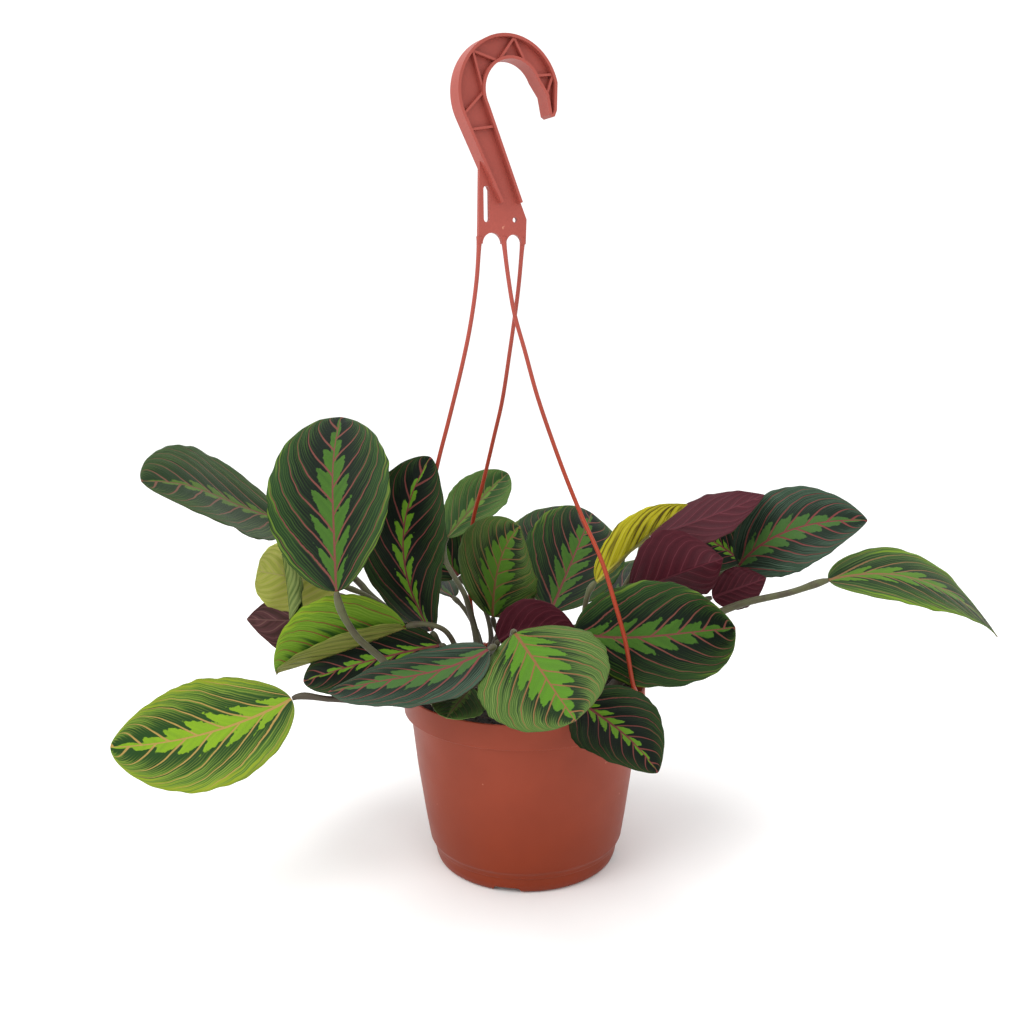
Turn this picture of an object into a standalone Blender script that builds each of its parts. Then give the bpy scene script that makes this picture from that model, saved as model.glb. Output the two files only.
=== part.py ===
"""Potted prayer plant (Maranta leuconeura) in a 150 mm hanging nursery pot.

Metres, +Z up. The origin is on the pot's axis, on the plane that the pot stands on.
Tables are in millimetres and degrees, and MM turns them into metres where a mesh is made.
"""

import math
from typing import NamedTuple

import bmesh
import bpy
from mathutils import Vector

MM = 0.001

# Pot, outer radii and heights
RIM_RADIUS = 74.8
RIM_TOP = 112.5
RIM_BOTTOM = 97.5
BODY_TOP_RADIUS = 70.9
BODY_MIDDLE = (67.4, 63.0)
BODY_LOWER = (62.8, 30.0)
BODY_BOTTOM = (60.4, 15.0)
LEDGE = (59.0, 13.2)
FOOT_TOP = (57.6, 10.2)
FOOT_MIDDLE = (57.0, 5.0)
FOOT_BOTTOM_RADIUS = 53.6
WALL = 1.5
FLOOR_TOP = 9.0
FLOOR_THICKNESS = 2.0
CENTRE_PAD_RADIUS = 9.0
POT_SIDES = 60
POT_COLOUR = (0.44, 0.085, 0.03, 1.0)

# Openings in the pot
FOOT_NOTCHES = 4
FOOT_NOTCH_ANGLE = -102.0
FOOT_NOTCH_WIDTHS = (19.0, 14.5)
FOOT_NOTCH_HEIGHT = 3.6
DRAIN_HOLES = 8
DRAIN_RADIUS = 4.0
DRAIN_CIRCLE = 36.0
RIM_SLOT_SIZE = (3.4, 2.6)

# Potting soil
SOIL_TOP = 103.0
SOIL_CROWN = 3.0
SOIL_GAP = 0.4
SOIL_RINGS = 5
SOIL_SIDES = 36
SOIL_COLOUR = (0.012, 0.009, 0.007, 1.0)

# Hanger: a flat blade with a ribbed hook above it, in a plane turned about the vertical
HANGER_CENTRE = (-9.0, 0.0)
HANGER_TURN = 28.0
WEB_THICKNESS = 2.6
FLANGE_DEPTH = 11.0
FLANGE_WIDTH = 1.7
TRUSS_WIDTH = 1.3
PRONG_RADIUS = 1.25
PRONG_SIDES = 6
CLIP_SIZE = (12.0, 11.0)
CLIP_LEG = 1.8
CLIP_SLACK = 0.3
CLIP_CAP = 2.4
EYE_RADII = (3.4, 1.2)
HANGER_COLOUR = (0.50, 0.115, 0.06, 1.0)

# Leaves
BLADE_THICKNESS = 0.9
LEAF_ROWS = 8
LEAF_COLUMNS = 4
FOLD_EASE = 0.3  # part of the width below which a fold eases off, at the blade's two ends
CLEARANCE = 0.35
SOIL_CLEARANCE = 1.0

# Stems and petioles
TUBE_SIDES = 5
TUBE_RINGS = 5
STEM_COLOUR = (0.16, 0.15, 0.05, 1.0)


class Leaf(NamedTuple):
    """A leaf blade: where its base and tip are, the way its upper side faces, and how it bends."""

    name: str
    base: tuple
    tip: tuple
    width: float
    faces: tuple  # azimuth and elevation that the upper side looks to
    arch: float = 0.04  # rise of the midrib, as a part of the length
    bend: float = 0.0  # sideways bow of the midrib
    curl: tuple = (8.0, 8.0)  # how far each margin has turned up, near and far half
    fold: tuple = (4.0, 4.0)  # how far each half is hinged up at the midrib
    twist: float = 0.0
    wave: float = 0.0
    point: float = 0.04  # how much its tip narrows to a point, from 0 for a round one
    halves: tuple = (1, 1)  # how wide each half is, as a part of the half width
    colour: tuple = (0.035, 0.10, 0.025, 1.0)


BRIGHT = (0.11, 0.24, 0.02, 1.0)
PALE = (0.36, 0.42, 0.07, 1.0)
PURPLE = (0.13, 0.02, 0.03, 1.0)

LEAVES = (
    Leaf("leaf_high_left", (-154, 43, 207), (-215, -42, 247), 74, (-97, 43), 0.01, 0.04,
         (9, 4), wave=-0.02),
    Leaf("leaf_tall_left", (-106, -50, 184), (-109, 8, 277), 76, (-102, 19), 0.09,
         fold=(12, 12), curl=(0, 0), twist=28, wave=-0.02),
    Leaf("leaf_tall_dark", (-56, -13, 149), (-54, -12, 255), 59, (-112, 15), 0.05, -0.15,
         (8, 12), (0, 0), twist=45),
    Leaf("leaf_small_back", (-50, 62, 191), (-10, 85, 230), 39, (-90, 52), 0.04,
         fold=(12, 12), twist=38, colour=BRIGHT),
    Leaf("leaf_centre_bright", (-20, 31, 145), (-2, -18, 214), 58, (-98, 31), -0.04, -0.09,
         (10, -5), (0, 0), twist=-20, colour=BRIGHT, point=0.1),
    Leaf("leaf_centre_back", (17, 3, 157), (46, 69, 205), 64, (-82, 35), 0.08,
         curl=(8, 15), twist=28, wave=-0.015),
    Leaf("leaf_folded_yellow", (43, -17, 180), (100, 7, 222), 41, (105, 44), 0.02,
         fold=(18, 18), twist=15, colour=PALE, point=0.3),
    Leaf("leaf_purple_high", (80, 24, 198), (147, 8, 227), 43, (113, -55), 0.02,
         curl=(-5, 13), fold=(0, 0), colour=PURPLE, point=0.36),
    Leaf("leaf_right_high", (137, 29, 178), (205, -9, 214), 53, (-88, 30), 0.15, -0.08,
         (5, 5), twist=-10, point=0.2),
    Leaf("leaf_purple_folded", (65, -9, 171), (118, -19, 194), 56, (113, 6), 0.03,
         curl=(18, 10), fold=(16, 16), twist=-70, colour=PURPLE, point=0.36),
    Leaf("leaf_right_behind", (143, 49, 176), (109, 51, 198), 36, (-95, 36)),
    Leaf("leaf_right_folded", (117, 8, 163), (149, 4, 176), 26, (100, -18), 0.0,
         curl=(-30, 5), colour=PURPLE, point=0.36),
    Leaf("leaf_front_right", (30, -21, 150), (114, -80, 170), 66, (-86, 8), -0.08, 0.05,
         (15, -25), (0, 0), wave=0.05, point=0.08),
    Leaf("leaf_far_right", (181, -18, 180), (282, -21, 145), 55, (-79, 74), 0.15, -0.06,
         (15, -12), (0, 0), twist=-15, point=0.5),
    Leaf("leaf_crimson", (-15, -1, 139), (32, -17, 149), 37, (92, 15), bend=0.12,
         colour=PURPLE, point=0.3),
    Leaf("leaf_front_centre", (-5, -55, 160), (25, -140, 141), 72, (-100, 36), 0.0,
         curl=(-4, 13), fold=(-6, -6), twist=5, wave=0.015, colour=BRIGHT),
    Leaf("leaf_rim_right", (30, -61, 122), (71, -101, 96), 49, (-88, 46), 0.08, -0.02,
         (8, 20), twist=-28, wave=-0.02, point=0.16),
    Leaf("leaf_rim_small", (-31, -55, 128), (-42, -94, 125), 30, (-95, 42), 0.0,
         fold=(-8, -8), colour=BRIGHT),
    Leaf("leaf_front_left", (-20, -69, 155), (-107, -83, 136), 55, (-92, 66), -0.01, -0.04,
         (35, -14), (-10, -10), twist=20, wave=-0.02, point=0.2),
    Leaf("leaf_left_folded", (-70, -27, 156), (-149, -24, 127), 69, (-60, 14), 0.08,
         curl=(20, 14), fold=(130, 0), twist=-10, halves=(0.42, 1), colour=BRIGHT),
    Leaf("leaf_left_dark", (-51, -20, 142), (-130, -37, 126), 49, (-93, 50)),
    Leaf("leaf_left_pale", (-113, 8, 172), (-156, -28, 191), 47, (80, -17), 0.1,
         fold=(20, 20), colour=PALE),
    Leaf("leaf_left_purple", (-93, 11, 151), (-167, -15, 158), 49, (100, -30), 0.07,
         curl=(35, 6), fold=(8, 8), colour=PURPLE, point=0.3),
    Leaf("leaf_far_left_low", (-136, -44, 118), (-231, -78, 103), 67, (-90, 40), -0.02, -0.06,
         (0, 0), (0, 0), twist=-18, colour=BRIGHT),
    Leaf("leaf_rolled_young", (-140, -17, 158), (-145, -9, 197), 26, (-20, 10), 0.02,
         curl=(150, 150), fold=(25, 25), twist=30, colour=BRIGHT, point=0.4),
    Leaf("leaf_back_left", (-48, 62, 150), (-122, 118, 158), 60, (120, 62), 0.06),
    Leaf("leaf_back_left_low", (-70, 44, 124), (-146, 74, 98), 56, (150, 60), 0.08,
         colour=BRIGHT),
    Leaf("leaf_back_centre", (-8, 72, 148), (-18, 160, 150), 62, (95, 60), 0.1),
    Leaf("leaf_back_high", (8, 50, 172), (30, 108, 203), 52, (70, 45), 0.06, colour=BRIGHT),
    Leaf("leaf_back_low", (18, 78, 122), (34, 140, 88), 56, (80, 48), 0.1),
    Leaf("leaf_back_right", (56, 56, 148), (118, 118, 160), 60, (55, 58), 0.05, twist=10),
    Leaf("leaf_back_right_low", (80, 32, 126), (132, 66, 112), 54, (30, 62), 0.08,
         colour=BRIGHT),
    Leaf("leaf_back_purple", (-44, 72, 162), (-84, 88, 204), 46, (-80, 20), 0.05,
         curl=(15, 15)),
)


class Petiole(NamedTuple):
    """A leaf stalk: the leaf that it carries, the points that it passes and its two radii."""

    leaf: str
    through: tuple = ()
    radii: tuple = (2.0, 1.4)


class Shoot(NamedTuple):
    """A stem of the plant: where it leaves the soil, and the leaf stalks that grow from it."""

    name: str
    crown: tuple
    petioles: tuple


SHOOTS = (
    Shoot("shoot_far_left", (-40, -22), (
        Petiole("leaf_far_left_low", ((-60, -28, 116), (-78, -34, 118), (-96, -38, 115),
                                      (-114, -42, 117)), (2.6, 1.6)),
        Petiole("leaf_left_dark", ((-43, -24, 128),)),
    )),
    Shoot("shoot_tall_left", (-50, -40), (
        Petiole("leaf_tall_left", ((-54, -45, 117), (-66, -51, 126), (-81, -50, 143), (-97, -53, 161)),
                (2.4, 1.9)),
    )),
    Shoot("shoot_left", (-46, -2), (
        Petiole("leaf_tall_dark", ((-48, -5, 128),), (2.4, 1.6)),
        Petiole("leaf_left_folded", ((-40, -12, 130), (-48, -23, 153))),
        Petiole("leaf_left_purple", ((-66, 10, 134),)),
    )),
    Shoot("shoot_left_back", (-44, 18), (
        Petiole("leaf_high_left", ((-62, 19, 132), (-95, 22, 160), (-106, 26, 171),
                                   (-134, 36, 193)), (2.9, 1.7)),
        Petiole("leaf_left_pale", ((-64, 16, 138), (-86, 10, 158))),
        Petiole("leaf_back_left_low", ((-56, 34, 120),)),
    )),
    Shoot("shoot_centre_left", (-26, -6), (
        Petiole("leaf_small_back", ((-30, 16, 135), (-37, 34, 156)), (2.8, 1.4)),
        Petiole("leaf_front_left", ((-25, -28, 134), (-18, -53, 150))),
        Petiole("leaf_rolled_young", ((-54, -15, 117), (-100, -10, 134), (-130, -17, 146)),
                (1.8, 1.3)),
    )),
    Shoot("shoot_centre", (-2, 12), (
        Petiole("leaf_centre_bright", ((-12, 26, 126),)),
        Petiole("leaf_centre_back", ((8, 10, 134),), (2.2, 1.5)),
        Petiole("leaf_crimson", ((-12, 6, 124),)),
    )),
    Shoot("shoot_front", (4, -34), (
        Petiole("leaf_front_centre", ((-6, -42, 140),)),
        Petiole("leaf_rim_right", ((20, -48, 118),)),
        Petiole("leaf_rim_small", ((-16, -44, 122),), (1.6, 1.2)),
        Petiole("leaf_front_right", ((16, -22, 132),)),
    )),
    Shoot("shoot_right", (30, 2), (
        Petiole("leaf_folded_yellow", ((35, -15, 146),), (2.2, 1.5)),
        Petiole("leaf_purple_high", ((50, 13, 146), (69, 16, 178)), (2.4, 1.5)),
        Petiole("leaf_purple_folded", ((50, -2, 140),)),
    )),
    Shoot("shoot_far_right", (46, -18), (
        Petiole("leaf_far_right", ((72, -14, 129), (100, -3, 146), (130, -4, 161),
                                   (160, -12, 171)), (3.0, 1.8)),
        Petiole("leaf_right_folded", ((80, -10, 142), (98, 2, 156))),
    )),
    Shoot("shoot_right_back", (38, 26), (
        Petiole("leaf_right_high", ((70, 32, 140), (106, 38, 164)), (2.4, 1.5)),
        Petiole("leaf_right_behind", ((76, 50, 136), (124, 54, 160)), (2.2, 1.4)),
        Petiole("leaf_back_right_low", ((58, 28, 119),)),
    )),
    Shoot("shoot_back_left", (-26, 40), (
        Petiole("leaf_back_left", ((-32, 48, 132),)),
        Petiole("leaf_back_centre", ((-16, 54, 130),)),
        Petiole("leaf_back_purple", ((-22, 54, 124), (-28, 66, 144))),
    )),
    Shoot("shoot_back_right", (20, 42), (
        Petiole("leaf_back_high", ((8, 38, 140),)),
        Petiole("leaf_back_low", ((16, 60, 119),)),
        Petiole("leaf_back_right", ((38, 46, 132),)),
    )),
)

# Clips on the rim, and the points that each prong passes on its way up to the blade
CLIPS = {"right": -27.0, "back": 115.0, "left": 180.0}
PRONGS = {
    "right": ((62.8, -40.5, 126.6), (57.8, -51.5, 152.8), (52, -50, 174.7), (44.8, -39, 198),
              (34.7, -23, 220), (26, -16, 241.2), (18, -12, 263),
              (9, -9, 290), (2, -6, 316), (-4, -4, 338),
              (-7.5, -2, 360)),
    "back": ((-34, 66, 130), (-36.5, 58, 165), (-33, 49, 202), (-25, 42, 232),
             (-17.5, 35, 262), (-12, 28, 285), (-7, 20, 315), (-3, 13, 341), (-0.8, 9, 358)),
    "left": ((-73, 0, 124), (-70, -1, 155), (-64, -2, 190), (-56.5, -3, 225),
             (-50, -4, 252), (-43, -5, 277), (-35, -6, 307), (-29.5, -7, 331),
             (-25.5, -7, 356)),
}
PRONG_ROOTS = {"left": -16.2, "right": -1.0, "back": 11.8}
PRONG_ROOT_HEIGHT = 377.0

# Hook and blade outlines, in the hanger's own plane: (across, height)
HOOK_CENTRE = (1.5, 459.0)
HOOK_OUTER_RADIUS = 31.0
HOOK_INNER_CENTRE = (3.6, 460.5)
HOOK_INNER_RADIUS = 18.0
HOOK_ARC = (206.0, 15.0)
HOOK_INNER_ARC = (208.0, 24.0)
HOOK_STEPS = 15
HOOK_TIP = ((31.0, 452.0), (29.6, 448.8), (28.0, 449.6), (25.8, 460.0))
RIDGE_ENDS = ((-3.8, 400.0), (8.4, 400.0))
BLADE_LEFT = ((-17.4, PRONG_ROOT_HEIGHT), (-17.2, 384.0), (-16.0, 422.6))
BLADE_RIGHT = ((9.9, 400.2), (13.7, 391.0), (13.0, PRONG_ROOT_HEIGHT))
ARCHES = ((-8.6, 377.0, 6.2), (5.4, 377.4, 5.0))
SLOT = (-12.1, 399.0, 3.6, 20.0)
BLADE_HOLE = (6.1, 390.6, 1.5)
TRUSS = (
    ((5.0, 489.0), (-3.9, 477.0)), ((5.0, 489.0), (11.6, 477.5)),
    ((-20.6, 480.0), (-5.2, 476.0)), ((-20.6, 480.0), (-14.3, 459.0)),
    ((-26.5, 446.5), (-14.3, 459.0)), ((-22.6, 438.5), (-8.3, 441.0)),
    ((19.5, 470.0), (30.0, 471.5)), ((30.0, 471.5), (26.0, 461.0)),
)


# Meshes

def metres(points):
    return [Vector(p) * MM for p in points]


def material(name, colour, roughness, metallic=0.0):
    """A plain Principled material."""
    made = bpy.data.materials.new(name)
    made.use_nodes = True
    shader = made.node_tree.nodes["Principled BSDF"]
    shader.inputs["Base Color"].default_value = colour
    shader.inputs["Roughness"].default_value = roughness
    shader.inputs["Metallic"].default_value = metallic
    made.diffuse_color = colour
    return made


def new_object(name, points, faces, finish=None):
    """An object from points in millimetres, with its normals pointing out."""
    mesh = bpy.data.meshes.new(name)
    mesh.from_pydata([tuple(p) for p in metres(points)], [], faces)
    shaped = bmesh.new()
    shaped.from_mesh(mesh)
    bmesh.ops.recalc_face_normals(shaped, faces=shaped.faces)
    shaped.to_mesh(mesh)
    shaped.free()
    obj = bpy.data.objects.new(name, mesh)
    bpy.context.scene.collection.objects.link(obj)
    if finish:
        mesh.materials.append(finish)
    return obj


def combine(target, others, operation):
    """Join or cut the target with each of the others, which are used up."""
    for other in others:
        step = target.modifiers.new(other.name, "BOOLEAN")
        step.operation = operation
        step.object = other
        other.hide_render = True
        other.display_type = "WIRE"
        graph = bpy.context.evaluated_depsgraph_get()
        shaped = bpy.data.meshes.new_from_object(target.evaluated_get(graph))
        target.modifiers.remove(step)
        target.data = shaped
        bpy.data.objects.remove(other)
    return target


def smooth(obj, angle=35.0):
    obj.data.shade_smooth()
    obj.data.set_sharp_from_angle(angle=math.radians(angle))
    return obj


def ring_point(radius, angle, height):
    """A point on a circle round the pot's axis, with the angle in degrees from +X."""
    turn = math.radians(angle)
    return (radius * math.cos(turn), radius * math.sin(turn), height)


def lathe(name, profile, sides, finish):
    """A turned solid. The profile runs from the axis at the bottom, outside, back to the axis."""
    points = [(0.0, 0.0, profile[0][1])]
    for radius, height in profile[1:-1]:
        points += [ring_point(radius, 360.0 * i / sides, height) for i in range(sides)]
    points.append((0.0, 0.0, profile[-1][1]))
    last = len(points) - 1
    faces = []
    for i in range(sides):
        after = (i + 1) % sides
        faces.append((0, 1 + after, 1 + i))
        for ring in range(len(profile) - 3):
            low = 1 + ring * sides
            faces.append((low + i, low + after, low + sides + after, low + sides + i))
        top = last - sides
        faces.append((top + i, top + after, last))
    return new_object(name, points, faces, finish)


def prism(name, corners, direction):
    """A solid from a loop of corners, pushed along the direction."""
    push = Vector(direction)
    front = [Vector(c) for c in corners]
    back = [c + push for c in front]
    count = len(front)
    faces = [tuple(range(count)), tuple(range(2 * count - 1, count - 1, -1))]
    faces += [(i, (i + 1) % count, count + (i + 1) % count, count + i) for i in range(count)]
    return new_object(name, front + back, faces)


def curve_points(points, count, heading=None):
    """Points along a Catmull-Rom spline through the given ones, which may end on a heading."""
    knots = [Vector(p) for p in points]
    last = knots[-1] - knots[-2]
    beyond = knots[-2] + 2 * heading * last.length if heading else knots[-1] + last
    knots = [2 * knots[0] - knots[1], *knots, beyond]
    spans = len(knots) - 3
    found = []
    for i in range(count):
        place = spans * i / (count - 1)
        span = min(int(place), spans - 1)
        t = place - span
        a, b, c, d = knots[span:span + 4]
        found.append(0.5 * (2 * b + (c - a) * t + (2 * a - 5 * b + 4 * c - d) * t * t
                            + (3 * b - a - 3 * c + d) * t ** 3))
    return found


def tube(name, path, radii, sides, finish=None):
    """A capped tube along the path, tapering evenly between the two radii."""
    points = []
    side = Vector((0.0, 0.0, 1.0)).cross(path[1] - path[0])
    side = side if side.length > 1e-6 else Vector((1.0, 0.0, 0.0))
    for i, centre in enumerate(path):
        along = (path[min(i + 1, len(path) - 1)] - path[max(i - 1, 0)]).normalized()
        side = (side - along * side.dot(along)).normalized()
        up = along.cross(side)
        radius = radii[0] + (radii[1] - radii[0]) * i / (len(path) - 1)
        for k in range(sides):
            turn = math.tau * k / sides
            points.append(centre + radius * (math.cos(turn) * side + math.sin(turn) * up))
    faces = [tuple(range(sides)), tuple(range(len(points) - 1, len(points) - sides - 1, -1))]
    for i in range(len(path) - 1):
        for k in range(sides):
            a, b = i * sides + k, i * sides + (k + 1) % sides
            faces.append((a, b, b + sides, a + sides))
    return new_object(name, points, faces, finish)


# Pot

def foot_notch(angle):
    """A wedge that cuts a trapezoid opening through the foot ring."""
    low, high = (width / 2 for width in FOOT_NOTCH_WIDTHS)
    section = ((-low, -1.0), (low, -1.0), (high, FOOT_NOTCH_HEIGHT), (-high, FOOT_NOTCH_HEIGHT))
    out = Vector(ring_point(1.0, angle, 0.0))
    across = Vector((-out.y, out.x, 0.0))
    start = FOOT_BOTTOM_RADIUS - 8.0
    corners = [out * start + across * x + Vector((0, 0, z)) for x, z in section]
    return prism("foot_notch", corners, out * 16.0)


def upright(name, centre, radius, bottom, top, sides=12):
    """An upright cylinder."""
    corners = [Vector((centre[0] + radius * math.cos(math.tau * i / sides),
                       centre[1] + radius * math.sin(math.tau * i / sides), bottom))
               for i in range(sides)]
    return prism(name, corners, (0.0, 0.0, top - bottom))


def rim_slot(angle):
    """A small moulded opening through the rim band."""
    width, height = RIM_SLOT_SIZE
    out = Vector(ring_point(1.0, angle, 0.0))
    across = Vector((-out.y, out.x, 0.0))
    middle = (RIM_TOP + RIM_BOTTOM) / 2 + 1.0
    section = ((-width / 2, middle - height / 2), (width / 2, middle - height / 2),
               (width / 2, middle + height / 2), (-width / 2, middle + height / 2))
    corners = [out * (RIM_RADIUS - 5.0) + across * x + Vector((0, 0, z)) for x, z in section]
    return prism("rim_slot", corners, out * 10.0)


def build_pot():
    finish = material("terracotta_plastic", POT_COLOUR, 0.45)
    under = FLOOR_TOP - FLOOR_THICKNESS
    profile = (
        (0.0, 0.0), (CENTRE_PAD_RADIUS, 0.0), (CENTRE_PAD_RADIUS + 0.8, under),
        (FOOT_MIDDLE[0] - 2.6, under), (FOOT_BOTTOM_RADIUS - 2.0, 0.0), (FOOT_BOTTOM_RADIUS, 0.0),
        (55.8, 1.6), FOOT_MIDDLE, FOOT_TOP, (58.3, FOOT_TOP[1] + 0.3), LEDGE, BODY_BOTTOM,
        BODY_LOWER, BODY_MIDDLE, (BODY_TOP_RADIUS, RIM_BOTTOM), (RIM_RADIUS - 0.3, RIM_BOTTOM),
        (RIM_RADIUS, RIM_BOTTOM + 0.5), (RIM_RADIUS, RIM_TOP - 0.8), (RIM_RADIUS - 0.6, RIM_TOP),
        (RIM_RADIUS - WALL, RIM_TOP - 0.2), (RIM_RADIUS - WALL, RIM_BOTTOM + WALL + 0.2),
        (BODY_TOP_RADIUS - WALL, RIM_BOTTOM + WALL - 0.4),
        (BODY_MIDDLE[0] - WALL, BODY_MIDDLE[1]), (BODY_LOWER[0] - WALL, BODY_LOWER[1]),
        (BODY_BOTTOM[0] - WALL, BODY_BOTTOM[1] + 0.5), (LEDGE[0] - 2.0, FLOOR_TOP + 2.2),
        (LEDGE[0] - 4.5, FLOOR_TOP), (0.0, FLOOR_TOP),
    )
    pot = lathe("pot", profile, POT_SIDES, finish)
    notches = [foot_notch(FOOT_NOTCH_ANGLE + 360.0 * i / FOOT_NOTCHES)
               for i in range(FOOT_NOTCHES)]
    drains = [upright("drain", ring_point(DRAIN_CIRCLE, 360.0 * (i + 0.5) / DRAIN_HOLES, 0.0),
                      DRAIN_RADIUS, under - 2.0, FLOOR_TOP + 2.0) for i in range(DRAIN_HOLES)]
    slots = [rim_slot(angle) for angle in (199.0, 79.0, 319.0)]
    return smooth(combine(pot, notches + drains + slots, "DIFFERENCE"))


# Soil

def soil_height(x, y):
    """The soil's surface: a low crown with soft lumps."""
    fall = 1.0 - (x * x + y * y) / RIM_RADIUS ** 2
    lumps = math.sin(0.21 * x + 1.0) * math.cos(0.17 * y) + 0.5 * math.sin(0.4 * y - 0.3 * x)
    return SOIL_TOP - 2.0 + SOIL_CROWN * fall + 0.5 * lumps * fall


def build_soil():
    finish = material("potting_soil", SOIL_COLOUR, 0.95)
    gap = WALL + SOIL_GAP
    wide = RIM_RADIUS - WALL - SOIL_GAP
    shelf = RIM_BOTTOM + WALL + 0.7
    side = [(0.0, FLOOR_TOP + SOIL_GAP), (LEDGE[0] - 5.2, FLOOR_TOP + SOIL_GAP),
            (LEDGE[0] - 2.6, FLOOR_TOP + 2.4), (BODY_BOTTOM[0] - gap, BODY_BOTTOM[1] + 0.7),
            (BODY_LOWER[0] - gap, BODY_LOWER[1]), (BODY_MIDDLE[0] - gap, BODY_MIDDLE[1]),
            (BODY_TOP_RADIUS - gap, RIM_BOTTOM), (BODY_TOP_RADIUS - gap, shelf), (wide, shelf)]
    top = [(wide * (SOIL_RINGS - i) / SOIL_RINGS, SOIL_TOP) for i in range(SOIL_RINGS + 1)]
    soil = lathe("potting_soil", (*side, *top), SOIL_SIDES, finish)
    for vertex in soil.data.vertices:
        if vertex.co.z > (SOIL_TOP - 0.1) * MM:
            vertex.co.z = soil_height(vertex.co.x / MM, vertex.co.y / MM) * MM
    return smooth(soil)


# Hanger

def hanger_point(across, height, depth=0.0):
    """A point in the hanger's plane, moved out of it towards its front by the depth."""
    turn = math.radians(HANGER_TURN)
    x = HANGER_CENTRE[0] + across * math.cos(turn) + depth * math.sin(turn)
    y = HANGER_CENTRE[1] + across * math.sin(turn) - depth * math.cos(turn)
    return Vector((x, y, height))


def hanger_front():
    turn = math.radians(HANGER_TURN)
    return Vector((math.sin(turn), -math.cos(turn), 0.0))


def arc(centre, radius, start, end, steps):
    """Points on an arc, with its angles in degrees."""
    found = []
    for i in range(steps + 1):
        turn = math.radians(start + (end - start) * i / steps)
        found.append((centre[0] + radius * math.cos(turn), centre[1] + radius * math.sin(turn)))
    return found


def slab(name, outline, thickness):
    """A flat piece of the hanger, centred on its plane."""
    corners = [hanger_point(x, z, thickness / 2) for x, z in outline]
    return prism(name, corners, -hanger_front() * thickness)


def wall_along(name, path, width, depth):
    """A standing rib of the hanger along a path in its plane."""
    left, right = [], []
    for i, (x, z) in enumerate(path):
        before, after = path[max(i - 1, 0)], path[min(i + 1, len(path) - 1)]
        along = Vector((after[0] - before[0], after[1] - before[1])).normalized()
        shift = Vector((-along.y, along.x)) * (width / 2)
        left.append((x + shift.x, z + shift.y))
        right.append((x - shift.x, z - shift.y))
    return slab(name, left + right[::-1], depth)


def hook_paths():
    """The hook's outer and inner edges, each from its lower end up and round to the tip."""
    outer = arc(HOOK_CENTRE, HOOK_OUTER_RADIUS, *HOOK_ARC, HOOK_STEPS)
    inner = arc(HOOK_INNER_CENTRE, HOOK_INNER_RADIUS, *HOOK_INNER_ARC, HOOK_STEPS)
    return [RIDGE_ENDS[0], *outer], [RIDGE_ENDS[1], *inner]


def clip(angle):
    """A clip that sits over the rim: a cap with a leg each side of the wall, and a small eye."""
    out = Vector(ring_point(1.0, angle, 0.0))
    across = Vector((-out.y, out.x, 0.0))
    length, drop = CLIP_SIZE
    inner = RIM_RADIUS - WALL - CLEARANCE - CLIP_LEG - CLIP_SLACK
    outer = RIM_RADIUS + CLEARANCE + CLIP_LEG
    seat = RIM_TOP + CLEARANCE
    top = seat + CLIP_CAP
    section = ((inner, top - drop), (inner + CLIP_LEG, top - drop), (inner + CLIP_LEG, seat),
               (outer - CLIP_LEG, seat), (outer - CLIP_LEG, top - drop), (outer, top - drop),
               (outer, top - 0.8), (outer - 0.8, top), (inner + 0.8, top), (inner, top - 0.8))
    corners = [out * r - across * (length / 2) + Vector((0, 0, z)) for r, z in section]
    body = prism("clip", corners, across * length)
    centre = out * (inner - 0.3) - across * (length / 2 + 1.4) + Vector((0, 0, RIM_TOP))
    return [body, eye(centre, across, out)]


def eye(centre, across, axis):
    """A small upright ring with a round section."""
    radius, section = EYE_RADII
    count, sides = 14, 6
    ring = [centre + radius * (math.cos(math.tau * i / count) * across
                               + Vector((0, 0, math.sin(math.tau * i / count))))
            for i in range(count)]
    points, faces = [], []
    for middle in ring:
        away = (middle - centre).normalized()
        points += [middle + section * (math.cos(math.tau * k / sides) * away
                                       + math.sin(math.tau * k / sides) * axis)
                   for k in range(sides)]
    total = len(points)
    for i in range(len(ring)):
        for k in range(sides):
            a, b = i * sides + k, i * sides + (k + 1) % sides
            faces.append((a, b, (b + sides) % total, (a + sides) % total))
    return new_object("eye", points, faces)


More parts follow.
